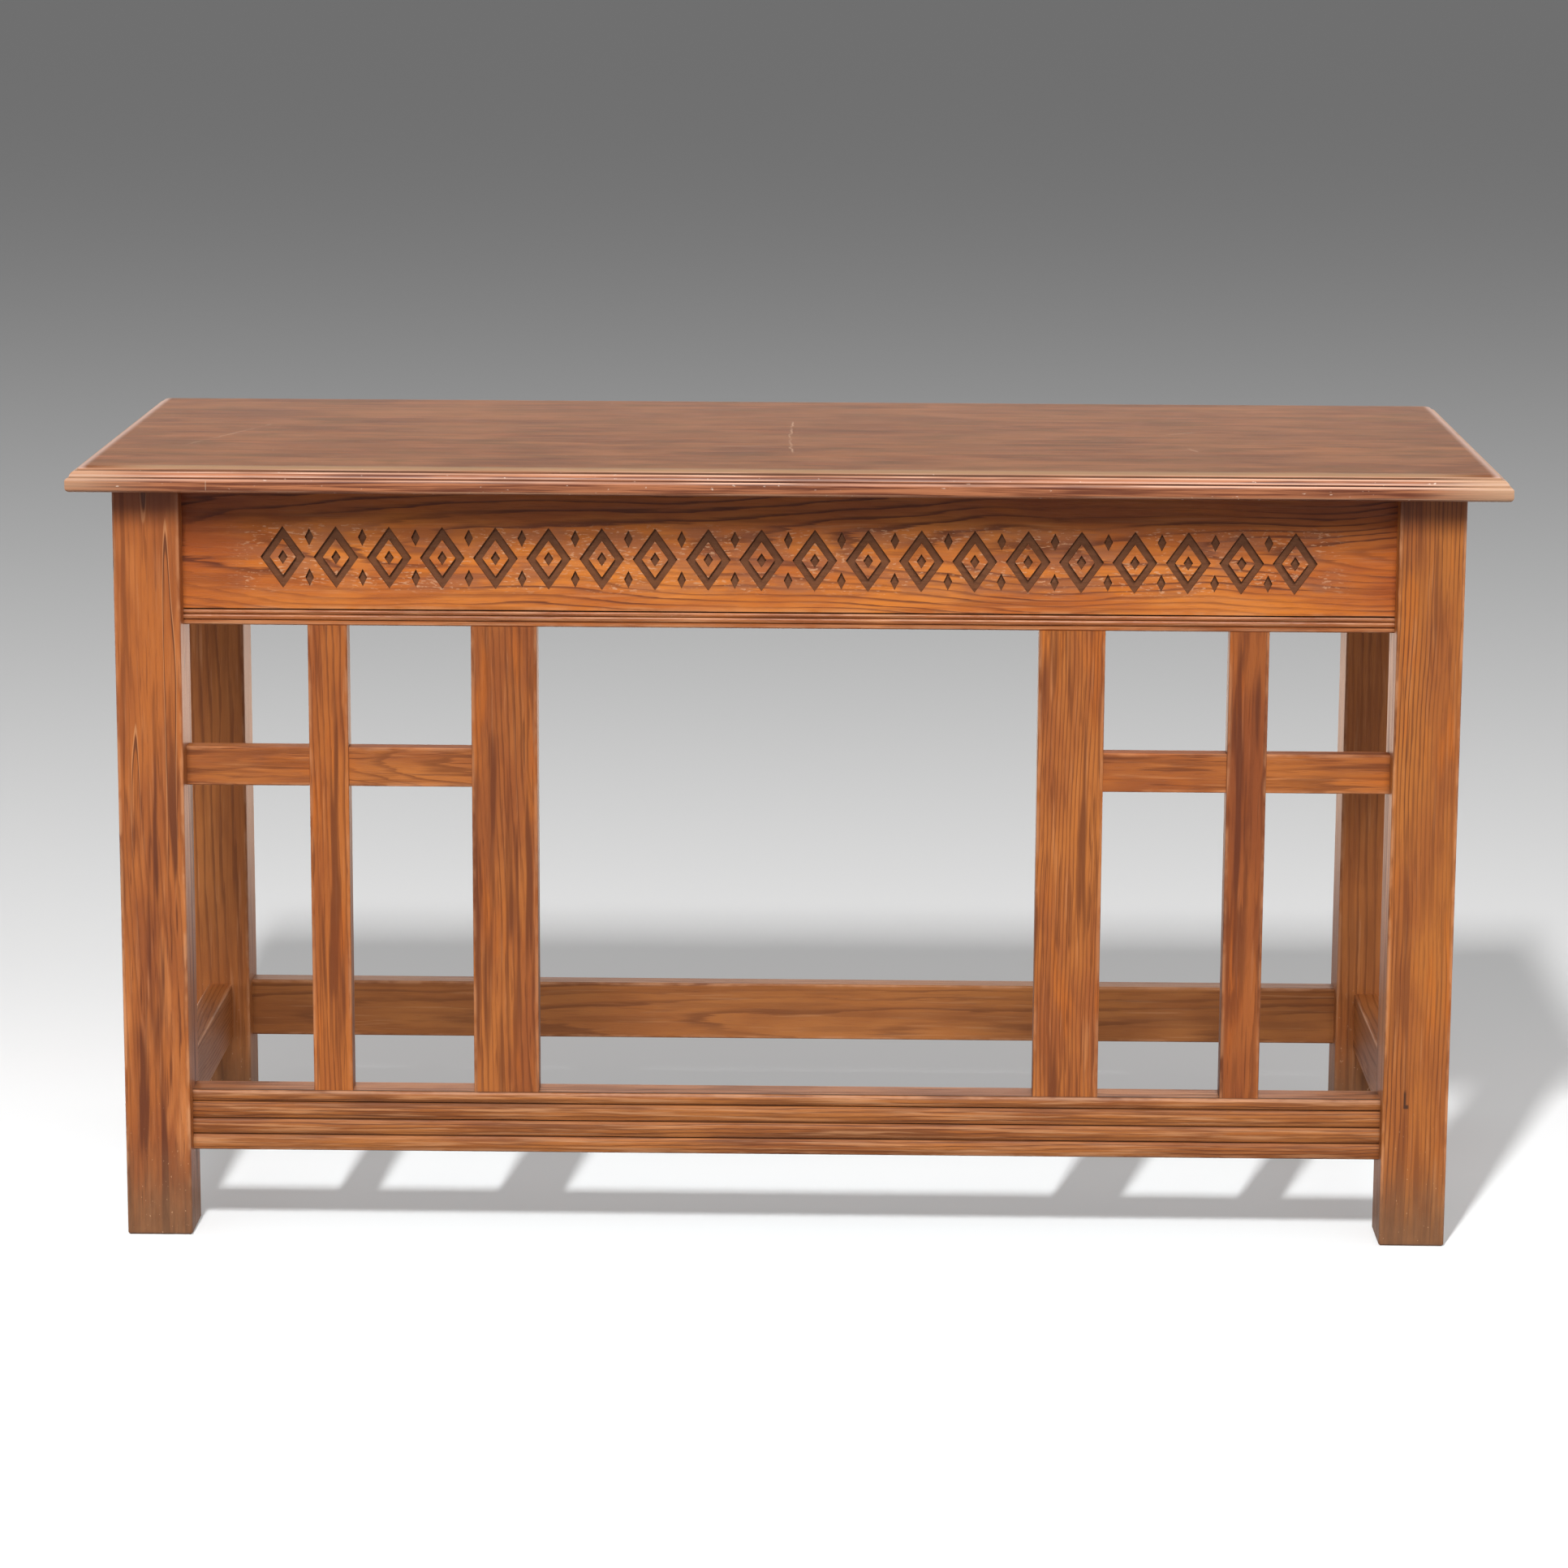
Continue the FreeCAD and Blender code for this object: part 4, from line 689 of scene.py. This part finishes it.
# Painted light: paler in front of the table, against the table's shade on the floor.
near = g.add(1.0, g.mul(g.step(floor_y, 1.0, -0.1), NEAR_RISE))
lamp_gap = g.vector("LENGTH", g.vector("SUBTRACT", floor_place, tuple(LAMP_PLACE)))
lit_here = g.add(g.math("DIVIDE", LAMP_PLACE.z * LAMP_STRENGTH, lamp_gap), SOFT_LIGHT)
evened = g.math("DIVIDE", MIDDLE_LIGHT, lit_here)
tone = g.mul(g.mul(g.mul(level, near), evened), FLOOR_ALBEDO)
# A little cooler under the table, against the warm light that the wood throws on the floor.
from_middle = g.vector("LENGTH", g.vector("MULTIPLY", floor_place, (0.5, 1.0, 0.0)))
under = g.step(from_middle, 0.60, 0.20)
red = g.mul(tone, g.sub(1.0, g.mul(under, 0.035)))
blue = g.mul(tone, g.add(1.0, g.mul(under, 0.012)))
shader = g.node("ShaderNodeBsdfDiffuse", None, {"Color": g.combine(red, tone, blue)})
g.node("ShaderNodeOutputMaterial", None, {"Surface": shader.outputs[0]})
floor_mesh.materials.append(floor_material)

HORIZON_LIGHT = 0.14
OVERHEAD_RISE = 0.43
LIGHT_FROM_BELOW = 0.30
world = bpy.data.worlds.new("studio")
scene.world = world
world.use_nodes = True
g = Graph(world.node_tree)
up = g.split(g.node("ShaderNodeTexCoord").outputs["Generated"])[2]
# The surroundings brighten from the horizon upwards; below it they stand in for the pale floor.
sky = g.add(HORIZON_LIGHT, g.mul(g.math("MAXIMUM", up, 0.0), OVERHEAD_RISE))
below = g.step(up, 0.0, -0.02)
strength = g.add(g.mul(sky, g.sub(1.0, below)), g.mul(below, LIGHT_FROM_BELOW))
background = g.node("ShaderNodeBackground", None, {"Strength": strength})
background.inputs["Color"].default_value = rgb(1.0, 1.0, 1.0)
g.node("ShaderNodeOutputWorld", None, {"Surface": background.outputs[0]})


def group_of(name, members):
    collection = bpy.data.collections.new(name)
    for member in members:
        collection.objects.link(member)
    return collection


def sun(name, azimuth, elevation, strength, spread, colour, receivers, blockers=None):
    """A soft distant lamp, with its angles and its spread in degrees.

    At azimuth 0 it shines along +Y; a positive azimuth brings the light from the left.
    """
    data = bpy.data.lights.new(name, "SUN")
    data.energy = strength
    data.angle = math.radians(spread)
    data.color = colour
    lamp = bpy.data.objects.new(name, data)
    turn, rise = math.radians(azimuth), math.radians(elevation)
    aim = Vector((
        math.sin(turn) * math.cos(rise), math.cos(turn) * math.cos(rise), -math.sin(rise)))
    lamp.rotation_mode = "QUATERNION"
    lamp.rotation_quaternion = aim.to_track_quat("-Z", "Y")
    scene.collection.objects.link(lamp)
    lamp.light_linking.receiver_collection = receivers
    lamp.light_linking.blocker_collection = blockers


floor_only = group_of("lit_floor", [floor])
table_only = group_of("lit_table", list(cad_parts.values()))
WHITE = (1.0, 1.0, 1.0)
WARM = (1.0, 0.985, 0.96)
sun("floor_fill", 0.0, 89.0, FLOOR_FILL, 10.0, WHITE, floor_only, floor_only)
sun("table_key_left", 6.0, 34.0, 1.60, 12.0, WARM, table_only)
sun("table_key_right", -5.0, 45.0, 2.10, 12.0, WARM, table_only)
sun("table_fill", -12.0, 62.0, 0.4, 70.0, WHITE, table_only)
side_lit = group_of("lit_from_the_sides", [
    mesh_object for node, mesh_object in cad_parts.items()
    if node.startswith("leg_") or node in ("rail_back", "rail_left", "rail_right")])
sun("side_left", 68.0, 5.0, 1.05, 20.0, WARM, side_lit)
sun("side_right", -68.0, 5.0, 1.05, 20.0, WARM, side_lit)

lamp_data = bpy.data.lights.new("floor_key", "POINT")
lamp_data.energy = 4.0 * math.pi * LAMP_STRENGTH / LAMP_COUNT
lamp_data.shadow_soft_size = LAMP_RADIUS
lamp_data.use_nodes = True
g = Graph(lamp_data.node_tree)
falloff = g.node("ShaderNodeLightFalloff", None, {"Strength": 1.0})
emission = g.node("ShaderNodeEmission", None, {"Strength": falloff.outputs["Constant"]})
g.node("ShaderNodeOutputLight", None, {"Surface": emission.outputs[0]})
for count in range(LAMP_COUNT):
    rise = (count - (LAMP_COUNT - 1) / 2.0) * LAMP_SPACING
    lamp = bpy.data.objects.new(f"floor_key_{count + 1}", lamp_data)
    lamp.location = LAMP_PLACE + Vector((0.0, 0.0, rise))
    scene.collection.objects.link(lamp)
    lamp.light_linking.receiver_collection = floor_only

# A bright card behind the table that shows only as sheen on the table's glancing faces. It is
# stronger and warmer low down, and fades out towards the floor.
CARD_HALF = 2.0
CARD_Y = 1.3
CARD_HIGH = 0.95
CARD_FADE = (-0.15, 0.32)
CARD_TURN = (0.33, 0.38)
CARD_LOW_STRENGTH = 3.3
CARD_HIGH_STRENGTH = 1.3
card_mesh = bpy.data.meshes.new("sheen_card")
card_mesh.from_pydata([
    (-CARD_HALF, CARD_Y, 0.0), (CARD_HALF, CARD_Y, 0.0),
    (CARD_HALF, CARD_Y, CARD_HIGH), (-CARD_HALF, CARD_Y, CARD_HIGH),
], [], [(0, 1, 2, 3)])
card = bpy.data.objects.new("sheen_card", card_mesh)
scene.collection.objects.link(card)
card.visible_camera = False
card.visible_diffuse = False
card.visible_shadow = False
card_material = bpy.data.materials.new("sheen_card")
card_material.use_nodes = True
g = Graph(card_material.node_tree)
card_height = g.split(g.node("ShaderNodeTexCoord").outputs["Object"])[2]
upper_part = g.step(card_height, *CARD_TURN)
card_strength = g.sub(
    CARD_LOW_STRENGTH, g.mul(upper_part, CARD_LOW_STRENGTH - CARD_HIGH_STRENGTH))
card_colour = g.mix(upper_part, rgb(1.0, 0.76, 0.60), rgb(1.0, 0.93, 0.90))
glow = g.node("ShaderNodeEmission", None, {"Color": card_colour, "Strength": card_strength})
clear = g.node("ShaderNodeBsdfTransparent")
faded = g.node("ShaderNodeMixShader", None, {
    0: g.step(card_height, *CARD_FADE), 1: clear.outputs[0], 2: glow.outputs[0]})
g.node("ShaderNodeOutputMaterial", None, {"Surface": faded.outputs[0]})
card_mesh.materials.append(card_material)

camera_data = bpy.data.cameras.new("camera")
camera_data.sensor_fit = "HORIZONTAL"
camera_data.sensor_width = 36.0
camera_data.lens = 108.72
camera_data.clip_end = 500.0
camera = bpy.data.objects.new("camera", camera_data)
CAMERA_PLACE = Vector((0.0666, -4.725, 1.3377))
# Radians: to the right, up, and about the line of sight.
yaw, pitch, roll = -0.0155, -0.1950, 0.0049
forward = Vector((
    math.sin(yaw) * math.cos(pitch), math.cos(yaw) * math.cos(pitch), math.sin(pitch)))
right = Vector((math.cos(yaw), -math.sin(yaw), 0.0))
upward = right.cross(forward)
camera_x = math.cos(roll) * right + math.sin(roll) * upward
camera_y = -math.sin(roll) * right + math.cos(roll) * upward
turned = Matrix((camera_x, camera_y, -forward)).transposed().to_4x4()
camera.matrix_world = Matrix.Translation(CAMERA_PLACE) @ turned
scene.collection.objects.link(camera)
scene.camera = camera
